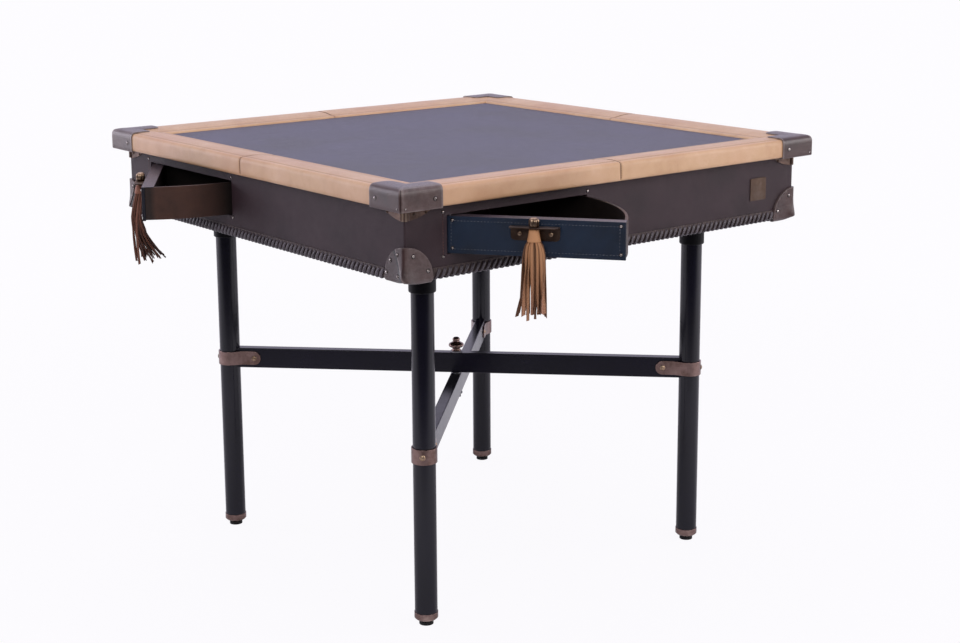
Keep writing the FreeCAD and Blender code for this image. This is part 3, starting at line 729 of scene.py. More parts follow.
# the finish of each carried-over CAD piece, by the start of its name
nodeFinish = {"bottom_panel": "wood", "corner_blocks": "wood", "top_board": "wood",
              "compartment_dividers": "wood", "play_surface": "play", "edge_bindings": "trim",
              "leg_front": "tube", "leg_back": "tube", "stretcher_": "bar", "glide_": "glide",
              "strap_rivets": "brass", "drawer_pins": "steel", "pivot_bolt": "steel",
              "pivot_washers": "steel"}
bracket = {"bent": 4.0, "drawnOut": 1.24}    # past its bent corner each wing is drawn out


def dressNodes():
    dressed = 0
    for name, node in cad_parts.items():
        key = next((k for k in nodeFinish if name.startswith(k)), None)
        if key:
            for holder in node.material_slots:
                holder.material = finishes[nodeFinish[key]].material
            dressed += 1
    print("CAD pieces dressed:", dressed)


def widenBracket(point):
    out = Vector((abs(point.x), abs(point.y), point.z))
    near = apronFace * mm - bracket["bent"] * mm
    for axis in (0, 1):
        if out[axis] < near:
            out[axis] = near - (near - out[axis]) * bracket["drawnOut"]
    return Vector((math.copysign(out.x, point.x), math.copysign(out.y, point.y), point.z))


def roundEdges():
    # leather, straps and turned pieces whose edges catch the light
    for side in sideAngle:
        soften("apron_" + side + "_skin", "apron_" + side, "table_top",
               "apron", 1.2)
    soften("cornerBrackets", "corner_brackets", "table_top", "bracket", 0.4,
           widenBracket)
    soften("facePlate", "face_plate", "table_top", "plate", 0.5)
    for frameHalf in ("lower", "upper"):
        for name, node, slot, finish, bevel in (
                ("straps_{}_bands", "straps_", "bronze", "bronze", 0.7),
                ("feet_{}_caps", "foot_caps_", "bronze", "bronze", 0.6),
                ("collars_{}_sleeves", "leg_collars_", "collar_paint", "collar", 0.6)):
            soften(name.format(frameHalf), node + frameHalf, frameHalf + "_frame", finish,
                   bevel)
    print("edges rounded: aprons, brackets, plate, straps, caps, collars")


dressNodes()
roundEdges()


rail = {
    "seam": {"front": -12.0, "right": -6.0, "back": 5.0, "left": 1.0},    # along each rail
    "seamDepth": 1.3,
    "seamWide": 1.7,
    "seamCuts": (-5, -2.6, -1.3, -0.6, 0, 0.6, 1.3, 2.6, 5),
    "seamClear": (5.1, 7.5),  # no other ring of the rail lies this near the seam
    "step": 6.0,
    "fixed": 370.0,           # past this the rail is stretched to its mitre
    "mitreEnd": 453.0,
    "swell": (0.3, 9.0),      # how full it is beside the seam, and from how far
    "wave": 0.35,
    "waveTurn": 0.37,         # moves the waves on from side to side
    "waveScale": (0.011, 0.06, 0.05),
    "middle": (37, 750),      # of the section: it swells away from here
    "settle": 0.2,
    "filled": range(5, 35),   # the rows of the section that are padded
    "slack": 25,              # past this row they are filled half as much
    "top": (13, 73),          # the rail's top, in from the rim's side
    "topShade": 0.16,          # how much darker all of it is painted, as painted shade
    "stitched": slice(5, 34),    # the rows that the cross seam runs over
    # the section: distance in from the rim's side, height; then how dark it is painted there: the
    # line near the shoulder as a burnish and painted shade, the inner crease as painted shade
    "profile": [(60, 734, 0), (30, 734, 0), (8, 734, 0), (3, 734.1, 0), (0.9, 735.0, 0),
                (0.1, 737.2, 0), (-0.1, 742, 0), (-0.1, 748, 0), (0, 754, 0), (0.1, 758.2, 0),
                (0.5, 761.3, 0), (1.5, 763.5, 0), (3.3, 765.1, 0), (5.7, 765.9, 0),
                (8.4, 766.1, 0), (10.4, 765.9, 0.1), (11.3, 765.7, 0.4), (12.0, 766.2, 0.5),
                (12.9, 766.6, 0.2), (15.5, 766.8, 0), (20, 766.9, 0), (27, 767.0, 0),
                (34, 766.8, 0), (42, 766.1, 0), (49, 765.2, 0), (55, 764.2, 0),
                (59.5, 763.4, 0.2), (62.0, 762.5, 0.75), (63.2, 762.0, 0.9), (64.4, 762.4, 0.4),
                (66.5, 762.9, 0), (69.3, 762.8, 0), (71.6, 761.9, 0), (73.1, 760.5, 0),
                (73.9, 758.8, 0), (74, 756, 0), (60, 756, 0)],
}


def railPoint(x, w, z):
    end, fixed = min(rimHalf - w, rail["mitreEnd"]), rail["fixed"]
    if abs(x) > fixed:
        x = math.copysign(fixed + (abs(x) - fixed) / (rimHalf - fixed) * (end - fixed), x)
    return x, -rimHalf + w, z


def makeRail(side):
    place, seam = onSide(side), rail["seam"][side]
    columns = {-rimHalf + i * rail["step"] for i in range(int(2 * rimHalf / rail["step"]) + 1)}
    columns = sorted(columns | {rimHalf} | {seam + d for d in rail["seamCuts"]})
    near, far = rail["seamClear"]
    columns = [x for x in columns if not near <= abs(x - seam) <= far]
    rings, burnishAndShade = [], []
    shift, (scaleX, scaleW, scaleZ) = sideAngle[side] * rail["waveTurn"], rail["waveScale"]
    (full, reach), (topFrom, topTo) = rail["swell"], rail["top"]
    for x in columns:
        ring = []
        groove = rail["seamDepth"] * bell(x - seam, rail["seamWide"])
        swell = full * (1 - bell(x - seam, reach))
        for i, (w, z, burnishShade) in enumerate(rail["profile"]):
            soft = 1.0 if i in rail["filled"] else 0.0
            wave = noise.noise(Vector((x * scaleX + shift, w * scaleW, z * scaleZ)))
            wave = wave * rail["wave"] * soft
            outward = Vector((w - rail["middle"][0], z - rail["middle"][1])).normalized()
            outward = outward * (swell + wave - groove) * soft
            if i > rail["slack"]:
                outward *= 0.5
            ring.append(railPoint(x, w + outward.x, z + outward.y - rail["settle"] * soft))
            # painted shade over the top and in the cross seam's groove, beside the line's burnish
            # and shade
            top = rail["topShade"] if topFrom < w < topTo else 0.0
            burnishAndShade.append(max(burnishShade, top, bell(x - seam, 0.8) * soft))
        rings.append(ring)
    points, faces = loft(rings)
    piece = makePiece("rimRail_" + side, "table_top", points, faces, "rim", place,
                      ["rim_rail_" + side], sharp=60, layers={"burnishAndShade": burnishAndShade})


rimThread = {
    "seamPitch": 3.4,
    "seamStitch": (4.0, 1.0, 0.9),
    "ridgePitch": 5.0,
    "ridgeStitch": (3.2, 0.8, 0.6),
    "ridgeEach": 73,          # stitches each side of the rail's middle
    "ridgeAt": (9.4, 765.75),
}


def sewRims():
    # cross stitches over each rail's middle seam, and a row along the line near the shoulder that
    # is painted as a burnish and painted shade
    across, along = [], []
    line = smoothed([Vector((w, z)) for w, z, _ in rail["profile"][rail["stitched"]]], 8)
    ridgeIn, ridgeUp = rimThread["ridgeAt"]
    for side in sideAngle:
        place, seam = onSide(side), rail["seam"][side]
        gone, last = 0.0, line[0]
        for k, here in enumerate(line[1:-1], 1):
            gone += (here - last).length
            last = here
            if gone < rimThread["seamPitch"]:
                continue
            gone = 0.0
            ahead = (line[k + 1] - line[k - 1]).normalized()
            across.append(spot(place, (seam, -rimHalf + here.x, here.y - 0.5),
                               (0, -ahead.y, ahead.x), (1, 0, 0.25)))
        for i in range(-rimThread["ridgeEach"], rimThread["ridgeEach"] + 1):
            x = rimThread["ridgePitch"] * i
            if abs(x - seam) > 4:
                along.append(spot(place, (x, -rimHalf + ridgeIn, ridgeUp), (0, -0.1, 1),
                                  (1, 0, 0)))
    sew("rimSeamStitches", "table_top", "rim_leather", across, rimThread["seamStitch"],
        "darkThread")
    sew("rimRidgeStitches", "table_top", "rim_leather", along, rimThread["ridgeStitch"],
        "darkThread")


for side in sideAngle:
    makeRail(side)
sewRims()
print("rim: four rails")


# moulded guards over the rim's corners
guard = {
    "wing": 77.0,
    "endRound": 8.0,
    "inner": 40.0,            # the wing's inner edge, in from the rim's side
    "thick": 2.1,
    "wingSteps": 22,
    "cornerRound": (3.2, 0.7, 2.2),    # at the rim's side, less so much per mm in, at least
    "crease": 1.3,            # the butted seam down the corner
    "creaseWide": 0.08,
    "puff": (0.35, 14, 12.0),          # how full the shoulder is, how far out, over what width
    "wear": (0.36, 0.06),     # painted light: the right wing is paler, the left one darker
    # the corner's turn, from one wing to the other
    "turns": (-1, -0.8, -0.6, -0.42, -0.26, -0.14, -0.07, -0.03, 0, 0.03, 0.07, 0.14, 0.26, 0.42,
              0.6, 0.8, 1),
    "profile": [(8, 732.4), (3, 732.3), (-0.6, 732.5), (-1.8, 733.1), (-2.2, 734.6), (-2.2, 739),
                (-2.2, 745), (-2.2, 751), (-2.2, 756), (-2.15, 759.5), (-1.6, 762.4),
                (-0.5, 764.9), (1.4, 767.0), (4.0, 768.3), (7.2, 768.9), (12, 769.1),
                (18, 769.2), (24, 769.2), (30, 769.0), (34, 768.7), (36.6, 768.5),
                (38.6, 768.3), (40, 768.1)],
    "nails": ((62.0, 748.5), (7.0, 738.5)),    # one nail and one tack on each wing
    "nailOut": 2.1,
    "nail": (3.0, 2.0),
    "tack": (1.5, 1.0),
}


def guardEnd(w):
    # how far out the wing reaches, at a distance in from the rim's side
    rounded = guard["endRound"]
    past = w - (guard["inner"] - rounded)
    if past <= 0:
        return guard["wing"]
    return guard["wing"] - rounded + math.sqrt(max(rounded ** 2 - past ** 2, 0.0))


def guardRub(row, out, w, turn, wing):
    # paler at the ends, the inner edge and the lower edge, where it is worn and also painted with
    # highlights;
    # painted highlights along the shoulder and beside the corner; the right wing painted paler and
    # the left darker, as painted light; painted shade, nearly black, in the corner's crease
    if turn is not None and row > 3 and abs(turn) < 0.1:
        return -0.8
    shoulder, more, less = bell(row - 11.5, 1.8), *guard["wear"]
    worn = 0.8 * bell(guardEnd(w) - out, 1.5)
    worn += 0.6 * bell(row - len(guard["profile"]) + 1, 0.8)
    worn += (0.22 + 0.5 * shoulder) * bell(out, 5.0) + 0.16 * shoulder + 0.5 * bell(row - 3, 0.8)
    worn += (more * wing - less) * (1.0 if row < 17 else 0.0)
    return min(1.0, worn)


def guardLine(row, w):
    # one height of a guard, wing to wing: x, y, how far out, the corner's turn, which wing
    atSide, perIn, least = guard["cornerRound"]
    radius = max(atSide - perIn * w, least)
    end, steps = guardEnd(w), guard["wingSteps"]
    outs = [end + (w + radius - end) * (i / steps) ** 0.9 for i in range(steps)]
    line = [(-rimHalf + out, -rimHalf + w, out, None, 1.0) for out in outs]
    middle = -rimHalf + w + radius
    for turn in guard["turns"]:
        angle = math.radians(-135 - 45 * turn)
        dent = guard["crease"] * bell(turn, guard["creaseWide"]) if w > -3 and row > 2 else 0.0
        line.append((middle + (radius - dent) * math.cos(angle),
                     middle + (radius - dent) * math.sin(angle), 0.0, turn, 0.5 - 0.5 * turn))
    return line + [(-rimHalf + w, -rimHalf + out, out, None, 0.0) for out in reversed(outs)]


def makeGuards():
    shells, wearAndShading = [], []
    full, puffOut, puffWide = guard["puff"]
    for side in sideAngle:
        place = onSide(side)
        points, faces = [], []
        for row, (w, z) in enumerate(guard["profile"]):
            line = guardLine(row, w)
            for x, y, out, turn, wing in line:
                puff = full * bell(out - puffOut, puffWide) * (1.0 if 9 <= row <= 18 else 0.0)
                points.append(place @ Vector((x, y, z + puff)))
                wearAndShading.append(guardRub(row, out, w, turn, wing))
        wide = len(line)
        for low in range(0, len(points) - wide, wide):
            for i in range(low, low + wide - 1):
                faces.append((i, i + 1, i + wide + 1, i + wide))
        shells.append((points, faces))
    points, faces = gather(shells)
    makePiece("rimGuards", "table_top", points, faces, "guard",
              replaces=["rim_corner_guards"], sharp=60, layers={"wearAndShading": wearAndShading},
              thick=guard["thick"], bevel=0.7)
    big, small = [], []
    near = -rimHalf - guard["nailOut"]
    for side in sideAngle:
        place = onSide(side)
        for row, (out, z) in zip((big, small), guard["nails"]):
            row.append(spot(place, (-rimHalf + out, near, z), (0, -1, 0)))
            row.append(spot(place, (near, -rimHalf + out, z), (-1, 0, 0)))
    nails("guardNails", "table_top", big, guard["nail"])
    nails("guardTacks", "table_top", small, guard["tack"])


makeGuards()
print("guards: four")


# leather caps round the apron's lower corners, two lapped layers each
patch = {
    "radius": 52.0,
    "thick": 2.0,
    "lift": 2.0,          # the under layer's outer surface over the apron, then the over layer's
    "overLift": 3.7,
    "under": 14.0,        # how far it folds under the box
    "edgeRound": 5.0,
    "corner": 3.0,        # the apron's own rounding
    "bend": 2.5,          # and what the leather adds to it, for the length of the bend
    "swell": (0.5, 3.4, 16.0, 15.0),     # everywhere, near the edge, up to, out to
    "fold": ((-21.0, 47.6), (-1.0, -2.0)),    # the overlapping edge, (along, up)
    "foldWide": (7.5, 2.2),    # the painted shadow beside it, and its painted highlight edge
    "droop": (1.15, 0.6, 13.0),    # how low the bend hangs, less so much at the corner
    "wearAndShading": (0.55, 0.38, 0.03),    # how pale the edge (worn, and a painted highlight), the right wing and the left one (painted light) are
    "hand": {"front": 1, "right": -1, "back": 1, "left": -1},    # left and right pairs
    "nailsRight": ((13.0, 37.7), (41.0, 12.0)),
    "nailsLeft": ((34.0, 28.5, 0), (45.0, 8.3, 0), (14.0, 5.9, 0), (14.0, 39.7, 1)),
    "nailShift": 1.3,
    "nail": (2.9, 1.8),
    # where the flat sheet is cut before it is bent: along, up, and from the fold
    "cutsAlong": (*range(-50, 51, 4), -4.3, -3.2, -2.1, -1.1, 1.1, 2.1, 3.2, 4.3),
    "cutsUp": (-12, -9, -7.8, -6.7, -5.5, -4.3, -3.1, -2.0, -1.0, 0, 1.5, 4, 8, 12, 16, 20, 25,
               30, 36, 42, 48),
    "cutsFold": (-8.2, -7.4, -6.2, -4.6, -3.4, -2.4, -1.4, -0.6, 0.6, 1.4, 2.4, 3.4, 4.6, 5.6),
}


def roundCorner(s, lift):
    # a distance along the corner's wrap and a height over the apron's face, to plan coordinates
    arcHalf = (patch["corner"] + patch["bend"]) * math.pi / 4
    centre = -apronFace + patch["corner"]
    radius = patch["corner"] + lift
    straight, face = centre + abs(s) - arcHalf, centre - radius
    if radius < 0:
        straight = max(straight, face)
    if abs(s) >= arcHalf:
        return (straight, face) if s > 0 else (face, straight)
    if radius < 0:
        return face, face
    angle = math.radians(-135 + 45 * s / arcHalf)
    return centre + radius * math.cos(angle), centre + radius * math.sin(angle)


def swollen(s, up):
    always, more, upTo, outTo = patch["swell"]
    return (always + more * bell(max(up, 0.0), upTo)) * bell(s, outTo)


def wrapPoint(s, up, lift, hand=1):
    # a point of the cap: flat against the apron, then round its lower edge and under the box;
    # hand -1 mirrors it
    if hand < 0:
        y, x, z = wrapPoint(s, up, lift)
        return x, y, z
    bottom, out = table["apronBottom"], lift + swollen(s, up)
    if up >= 0:
        x, y = roundCorner(s, out)
        return x, y, bottom + up
    base = patch["lift"] - patch["edgeRound"]
    low, less, reach = patch["droop"]
    drop = (lift - base) * (low - less * bell(s, reach))
    swing = min(-up / patch["edgeRound"], math.pi / 2)
    inward = max(-up - patch["edgeRound"] * math.pi / 2, 0.0)
    x, y = roundCorner(s, base + (out - base) * math.cos(swing) - inward)
    return x, y, bottom - drop * math.sin(swing)


def foldLine():
    # the overlapping edge's top, and the way along it
    (topS, topUp), (lowS, lowUp) = patch["fold"]
    return topS, topUp, Vector((lowS - topS, lowUp - topUp)).normalized()


def pastFold(s, up):
    # how far a point lies beyond the overlapping edge
    topS, topUp, along = foldLine()
    return (s - topS) * along.y - (up - topUp) * along.x


def patchRub(vert, over, hand):
    # how pale a point of the sheet is: worn edges with a painted highlight, the right wing painted
    # paler than the left as painted light, a painted highlight on the overlapping edge, and painted
    # shadow, nearly black, in the band beside it
    s, _, up = vert.co
    edge, right, left = patch["wearAndShading"]
    dark, bright = patch["foldWide"]
    pale = edge if vert.is_boundary and up > -3 else right if s * hand > 0 else left
    if over:
        return max(pale, bell(pastFold(s, up), bright))
    return -1.0 if abs(pastFold(s, up)) < dark else pale


def wrapped(outline, over, place, hand):
    # the outline cut into a fine sheet, wrapped at two heights and closed along its edge
    sheet = bmesh.new()
    sheet.faces.new([sheet.verts.new((s, 0, up)) for s, up in outline])
    cuts = [((at, 0, 0), (1, 0, 0)) for at in patch["cutsAlong"]]
    cuts += [((0, 0, up), (0, 0, 1)) for up in patch["cutsUp"]]
    topS, topUp, along = foldLine()
    across = Vector((along.y, 0, -along.x))
    cuts += [(Vector((topS, 0, topUp)) + across * gap, across) for gap in patch["cutsFold"]]
    for point, normal in cuts:
        bmesh.ops.bisect_plane(sheet, geom=sheet.verts[:] + sheet.edges[:] + sheet.faces[:],
                               dist=1e-5, plane_co=point, plane_no=normal)
    sheet.verts.ensure_lookup_table()
    sheet.verts.index_update()
    count = len(sheet.verts)
    lift = patch["overLift"] if over else patch["lift"]
    points = [place @ Vector(wrapPoint(vert.co.x, vert.co.z, height, hand))
              for height in (lift, lift - patch["thick"]) for vert in sheet.verts]
    wearAndShading = [patchRub(vert, over, hand) for vert in sheet.verts] * 2
    faces = [tuple(v.index for v in face.verts) for face in sheet.faces]
    faces += [tuple(count + i for i in reversed(face)) for face in faces]
    for edge in sheet.edges:
        if edge.is_boundary:
            a, b = (v.index for v in edge.verts)
            faces.append((a, b, count + b, count + a))
    sheet.free()
    return (points, faces), wearAndShading


def makePatches():
    r, under = patch["radius"], -patch["under"]
    angles = [math.radians(a) for a in range(0, 181, 5)]
    outer = [(r * math.cos(a), r * math.sin(a)) for a in angles]
    start = [(r - 4, under), (r - 0.8, -2.5)]
    whole = start + outer + [(-r + 0.8, -2.5), (-r + 4, under)]
    (topS, _), (lowS, lowUp) = patch["fold"]
    lapped = start + [(s, up) for s, up in outer if s > topS + 0.5]
    lapped += [(topS, math.sqrt(r * r - topS * topS)), (lowS, lowUp), (lowS + 4.0, under)]
    shells, wearAndShading, spots = [], [], []
    for side in sideAngle:
        place, hand = onSide(side), patch["hand"][side]
        for outline, over in ((whole, False), (lapped, True)):
            shell, edge = wrapped(outline, over, place, hand)
            shells.append(shell)
            wearAndShading += edge
        normals, shift = ((0, -1, 0), (-1, 0, 0))[::hand], patch["nailShift"]
        for along, up in patch["nailsRight"]:
            point = wrapPoint(along + shift, up, patch["overLift"], hand)
            spots.append(spot(place, point, normals[0]))
        for along, up, over in patch["nailsLeft"]:
            lift = patch["overLift"] if over else patch["lift"]
            spots.append(spot(place, wrapPoint(-along - shift, up, lift, hand), normals[1]))
    points, faces = gather(shells)
    makePiece("lowerPatches", "table_top", points, faces, "guard",
              replaces=["lower_corner_patches"], sharp=60, layers={"wearAndShading": wearAndShading})
    nails("patchNails", "table_top", spots, patch["nail"])


makePatches()
print("patches: four")


# what is fixed to each apron's face: places are along the apron and up
apronTrim = {
    "nails": ((-360.0, 721.0), (-360.0, 652.0), (-65.0, 721.0), (-65.0, 652.0)),
    "stitchX": -360.0,
    "stitchZ": (656.0, 718.0),
    "stitchPitch": 4.6,
    "stitch": (3.8, 1.0, 0.9),
    "nail": (2.5, 1.6),
    "screwsRight": (17.0, 40.0),    # in from the corner, on the bracket's two wings
    "screwsLeft": (41.0,),
    "screwHeight": 725.0,
    "bracketThick": 1.5,
}
# one turn of the lacing: its middle line, from the binding's lower outer corner
lace = {
    # along the edge, inwards, up
    "path": ((0, 2.6, 12.6), (0, 0.4, 12.2), (-0.8, -0.9, 10.6), (-2.4, -1.5, 7.4),
             (-4.6, -1.6, 3.6), (-6.4, -1.0, -0.2), (-7.5, 0.9, -1.9), (-8.2, 4.5, -1.8),
             (-8.8, 9, -1.6), (-9.3, 13.6, -1.4), (-9.8, 16.8, 1.6)),
    "core": 8.0,              # the turn's middle, in and up: its flat side faces away from it
    "wide": 6.3, "thick": 3.0, "pitch": 11.0, "turns": 69,
    "at": (4.9, -433.7, 621.8),
}


def laceTurn():
    # a flat strip bent round the edge, its section an ellipse
    line = smoothed([Vector(p) for p in lace["path"]], 2)
    angles = [math.radians(22.5 + 45 * i) for i in range(8)]
    rings = []
    for k, here in enumerate(line):
        ahead = (line[min(k + 1, len(line) - 1)] - line[max(k - 1, 0)]).normalized()
        out = Vector((0, here.y - lace["core"], here.z - lace["core"])).normalized()
        out = (out - ahead * out.dot(ahead)).normalized()
        across = ahead.cross(out)
        end = 0.75 if k in (0, len(line) - 1) else 1.0
        wide, thick = lace["wide"] / 2 * end, lace["thick"] / 2 * end
        rings.append([here + across * (wide * math.cos(a)) + out * (thick * math.sin(a))
                      for a in angles])
    points, faces = loft(rings)
    mesh = bpy.data.meshes.new("laceTurn")
    mesh.from_pydata([p * mm for p in points], [], faces)
    tidied = bmesh.new()
    tidied.from_mesh(mesh)
    bmesh.ops.recalc_face_normals(tidied, faces=tidied.faces)
    tidied.to_mesh(mesh)
    tidied.free()
    return addObject("laceTurn", mesh)


def trimAprons():
    heads, stitches, screws, laces = [], [], [], []
    face, screwZ = -apronFace, apronTrim["screwHeight"]
    onBracket = face - apronTrim["bracketThick"]
    for side in sideAngle:
        place = onSide(side)
        for x, z in apronTrim["nails"]:
            heads.append(spot(place, (x, face, z), (0, -1, 0)))
        z, top = apronTrim["stitchZ"]
        while z < top:
            stitches.append(spot(place, (apronTrim["stitchX"], face, z), (0, -1, 0)))
            z += apronTrim["stitchPitch"]
        for out in apronTrim["screwsRight"]:
            screws.append(spot(place, (face + out, onBracket, screwZ), (0, -1, 0), (0.3, 0, 1)))
        for out in apronTrim["screwsLeft"]:
            screws.append(spot(place, (onBracket, face + out, screwZ), (-1, 0, 0), (0, 0.2, 1)))
        laces.append((place @ Vector(lace["at"]), place.to_3x3()))
    nails("apronNails", "table_top", heads, apronTrim["nail"])
    sew("apronStitches", "table_top", "apron_leather", stitches, apronTrim["stitch"],
        "apronThread")
    grow("bracketScrews", "table_top", "brass", "screws", screws, Radius=2.6 * mm,
         Rise=1.3 * mm, Finish="pull")
    turn, pitch = laceTurn(), lace["pitch"] * mm
    grow("edgeLacing", "table_top", "trim_leather", "lacing", laces, Turn=turn,
         Turns=lace["turns"], Start=-(lace["turns"] - 1) * pitch / 2, Pitch=pitch, Finish="lace")
    bpy.data.objects.remove(turn)


trimAprons()
print("apron: nails, stitches, screws, lacing")


# a drawer, drawn shut on the front side
drawer = {
    "board": 5.5,         # the stiff front board; the leather-lined tray wall stands behind it
    "thick": 12.0,
    "wallBack": 21.0,     # the back of that wall, from the front's face
    "post": 9.5,
    "behindPost": 12.0,   # how far along the front the post's own block reaches
    "frontBottom": 655.5,
    "lap": 1.6,           # the leather lapped back over the wall's top
    "panelInset": (8.0, 6.2),
    "panelRise": 0.3,
    "stitchPitch": 5.2,
    "stitchIn": (6.0, 1.0),    # the upright rows: from the pin, and in from the panel's end
    "stitch": (3.2, 0.8, 0.6),
    "studIn": (7.4, 6.4, 8.6),    # in from the ends, down and up from the edges
    "stud": (2.4, 1.6),
    "outer": 273.0,       # the curved wall's outer radius
    "wall": 5.0,
    "innerWall": 6.0,
    "innerEnd": 11.5,     # how near the pin the inner wall comes
    "floor": 5.0,
    "fit": 0.05,
    "shadeFrom": (19.0, 12.0),  # the painted shade on the wall's outer side starts here, in degrees, over so many
}
faceY = -apronFace


def makeFront(side, place, body):
    # the board with leather lapped back over the wall behind it, and the round post it turns on
    z0, z1, lap = drawer["frontBottom"], table["drawerTop"], drawer["lap"]
    right, back = pivotX + table["drawerRadius"], faceY + drawer["thick"]
    deep, wallBack = faceY + drawer["board"], faceY + drawer["wallBack"]
    wallEnd = pivotX + drawer["outer"]
    rings = []
    for x, lapX in ((pivotX + 0.3, pivotX + 0.3), (right, wallEnd)):
        rings.append([(x, faceY, z0), (x, faceY, z1), (lapX, wallBack, z1),
                      (lapX, wallBack, z1 - lap), (lapX, deep, z1 - lap), (x, deep, z0)])
    board = loft(rings)
    meet = math.degrees(math.asin((back - pivotY) / drawer["post"]))
    outline = arc(pivotX, pivotY, drawer["post"], 270, meet, 30)
    outline += [(pivotX + drawer["behindPost"], back),
                (pivotX + drawer["behindPost"], faceY + 2.0), (pivotX + 0.6, faceY + 2.0)]
    post = prism(outline, z0, z1 - 0.02)
    sideIn, topIn = drawer["panelInset"]
    panel = [(pivotX + 1.0, z0 + topIn), (right - sideIn, z0 + topIn),
             (right - sideIn, z1 - topIn), (pivotX + 1.0, z1 - topIn)]
    sheet = loft([[(x, faceY + 3.0, z) for x, z in panel],
                  [(x, faceY - drawer["panelRise"], z) for x, z in panel]])
    points, faces = gather([board, post, sheet])
    kinds = []
    for face in faces:
        xs, ys, zs = zip(*(points[i] for i in face))
        atEnd = min(xs) > wallEnd - 0.1 or min(ys) > faceY + 1
        # the top faces take the paler plum leather as a painted sheen; the free end and the back
        # faces take a darker copy of the navy, as painted shade
        kinds.append(1 if min(zs) > z1 - 0.1 else 2 if atEnd else 0)
    makePiece("drawerFront_" + side, body, points, faces,
              ("panel", "edge", "panelInShade"), place, ["drawer_front_" + side], sharp=40,
              kinds=kinds, bevel=0.7)


def makeTray(side, place, body):
    z0, z1, fit = table["drawerBottom"], table["drawerTop"], drawer["fit"]
    front, back = faceY + drawer["board"] + fit, faceY + drawer["wallBack"]
    outer, inner = drawer["outer"], drawer["outer"] - drawer["wall"]
    start = math.degrees(math.asin((front - pivotY) / outer))
    angles = [start + (90 - start) * i / 48 for i in range(49)]

    def around(radius, degrees):
        angle = math.radians(degrees)
        return pivotX + radius * math.cos(angle), pivotY + radius * math.sin(angle)

    # the curved wall, then the straight inner wall back to the pin
    stations = [(around(outer, a), around(inner, a)) for a in angles]
    innerX = pivotX - drawer["innerWall"]
    stations.append(((innerX, pivotY + outer - 0.1), (pivotX, pivotY + inner)))
    for y in (200, 100, drawer["innerEnd"]):
        stations.append(((innerX, pivotY + y), (pivotX, pivotY + y)))
    top = z1 - 0.5
    wall = loft([[(*a, z0), (*a, top), (*b, top), (*b, z0)] for a, b in stations])
    reach = outer - 0.8
    near = pivotX + reach * math.cos(math.asin((front - pivotY) / reach))
    far = pivotX + reach * math.cos(math.asin((back - pivotY) / reach))
    besidePost = pivotX + drawer["behindPost"] + 0.1
    behind = faceY + drawer["thick"] + fit
    thick = prism([(besidePost, front), (near, front), (far, back), (pivotX - 1.0, back),
                   (pivotX - 1.0, behind), (besidePost, behind)], z0, z1 - drawer["lap"] - fit)
    edge = [around(inner + 1, a) for a in angles if a > start + 1.5]
    base = [(pivotX - 1.0, back - 2), (edge[0][0], back - 2)]
    base += [(max(x, pivotX - 1), max(y, back - 1)) for x, y in edge]
    points, faces = gather([wall, thick, prism(base, z0 + 0.3, z0 + drawer["floor"])])
    kinds = []
    for face in faces:
        corners = [Vector(points[i]) for i in face]
        middle = sum(corners, Vector()) / len(corners)
        normal = (corners[1] - corners[0]).cross(corners[-1] - corners[0]).normalized()
        inside = math.hypot(middle.x - pivotX, middle.y - pivotY) < inner + 1.5
        inside = inside and middle.y > back - 1 and middle.x > pivotX - 1.5
        lip = abs(normal.z) > 0.9 and middle.z > top - 1
        kinds.append(1 if inside and not lip else 0)
    first, over = drawer["shadeFrom"]
    # painted shade, darker where the wall runs into the box; 0.8 near the front board
    deep = []
    for x, y, _ in points:
        along = math.degrees(math.atan2(y - pivotY, x - pivotX)) - start
        deep.append(min(max((along - first) / over, 0.0), 1.0) if along > 3.0 else 0.8)
    makePiece("drawerTray_" + side, body, points, faces, ("tray", "inside"),
              place, ["drawer_tray_" + side], sharp=40, kinds=kinds, bevel=1.0,
              layers={"deep": deep})


def sewFront(side, place, body):
    z0, z1 = drawer["frontBottom"], table["drawerTop"]
    sideIn, topIn = drawer["panelInset"]
    right, pitch = pivotX + table["drawerRadius"], drawer["stitchPitch"]
    raised = faceY - drawer["panelRise"]
    stitches, studs = [], []
    for z in (z0 + topIn + 1.0, z1 - topIn - 1.0):
        x = pivotX + drawer["behindPost"]
        while x < right - sideIn - 3.0:
            stitches.append(spot(place, (x, raised + 0.15, z), (0, -1, 0), (1, 0, 0)))
            x += pitch
    fromPin, fromEnd = drawer["stitchIn"]
    for x in (pivotX + fromPin, right - sideIn - fromEnd):
        z = z0 + topIn + 4.0
        while z < z1 - topIn - 2.0:
            stitches.append(spot(place, (x, raised + 0.15, z), (0, -1, 0)))
            z += pitch
    inward, down, up = drawer["studIn"]
    for x in (pivotX + 0.5 + inward, right - inward):
        for z in (z0 + up, z1 - down):
            studs.append(spot(place, (x, faceY - drawer["panelRise"] * 0.5, z), (0, -1, 0)))
    sew("drawerStitches_" + side, body, "drawer_leather", stitches, drawer["stitch"], "thread")
    nails("drawerStuds_" + side, body, studs, drawer["stud"])


pull = {
    "width": 76.0,
    "tall": 23.0,
    "lipTop": 703.5,
    "lipDepth": 21.0,
    "sheet": 2.0,
    "corner": 6.0,
    "bend": 2.6,
    "screws": (24, 12.5),     # out from the middle, down from the lip
    "bead": 8.2,
    "flute": 0.22,
    "ringOut": 12.0,          # the bead's and the tassel's middle, out from the drawer's face
    # the bead: radius for a bead of radius 1, height over the lip
    "beadProfile": ((0.2, -2.2), (0.36, -2.2), (0.36, 0), (0.74, 0.1), (0.92, 1.4), (1.0, 3.4),
                    (1.0, 8.6), (0.96, 10.6), (0.8, 12.6), (0.55, 13.9), (0.3, 14.4),
                    (0.06, 14.5)),
}


def fluted(angle):
    return 1 - pull["flute"] * (1 - abs(math.cos(3 * angle)) ** 0.6)


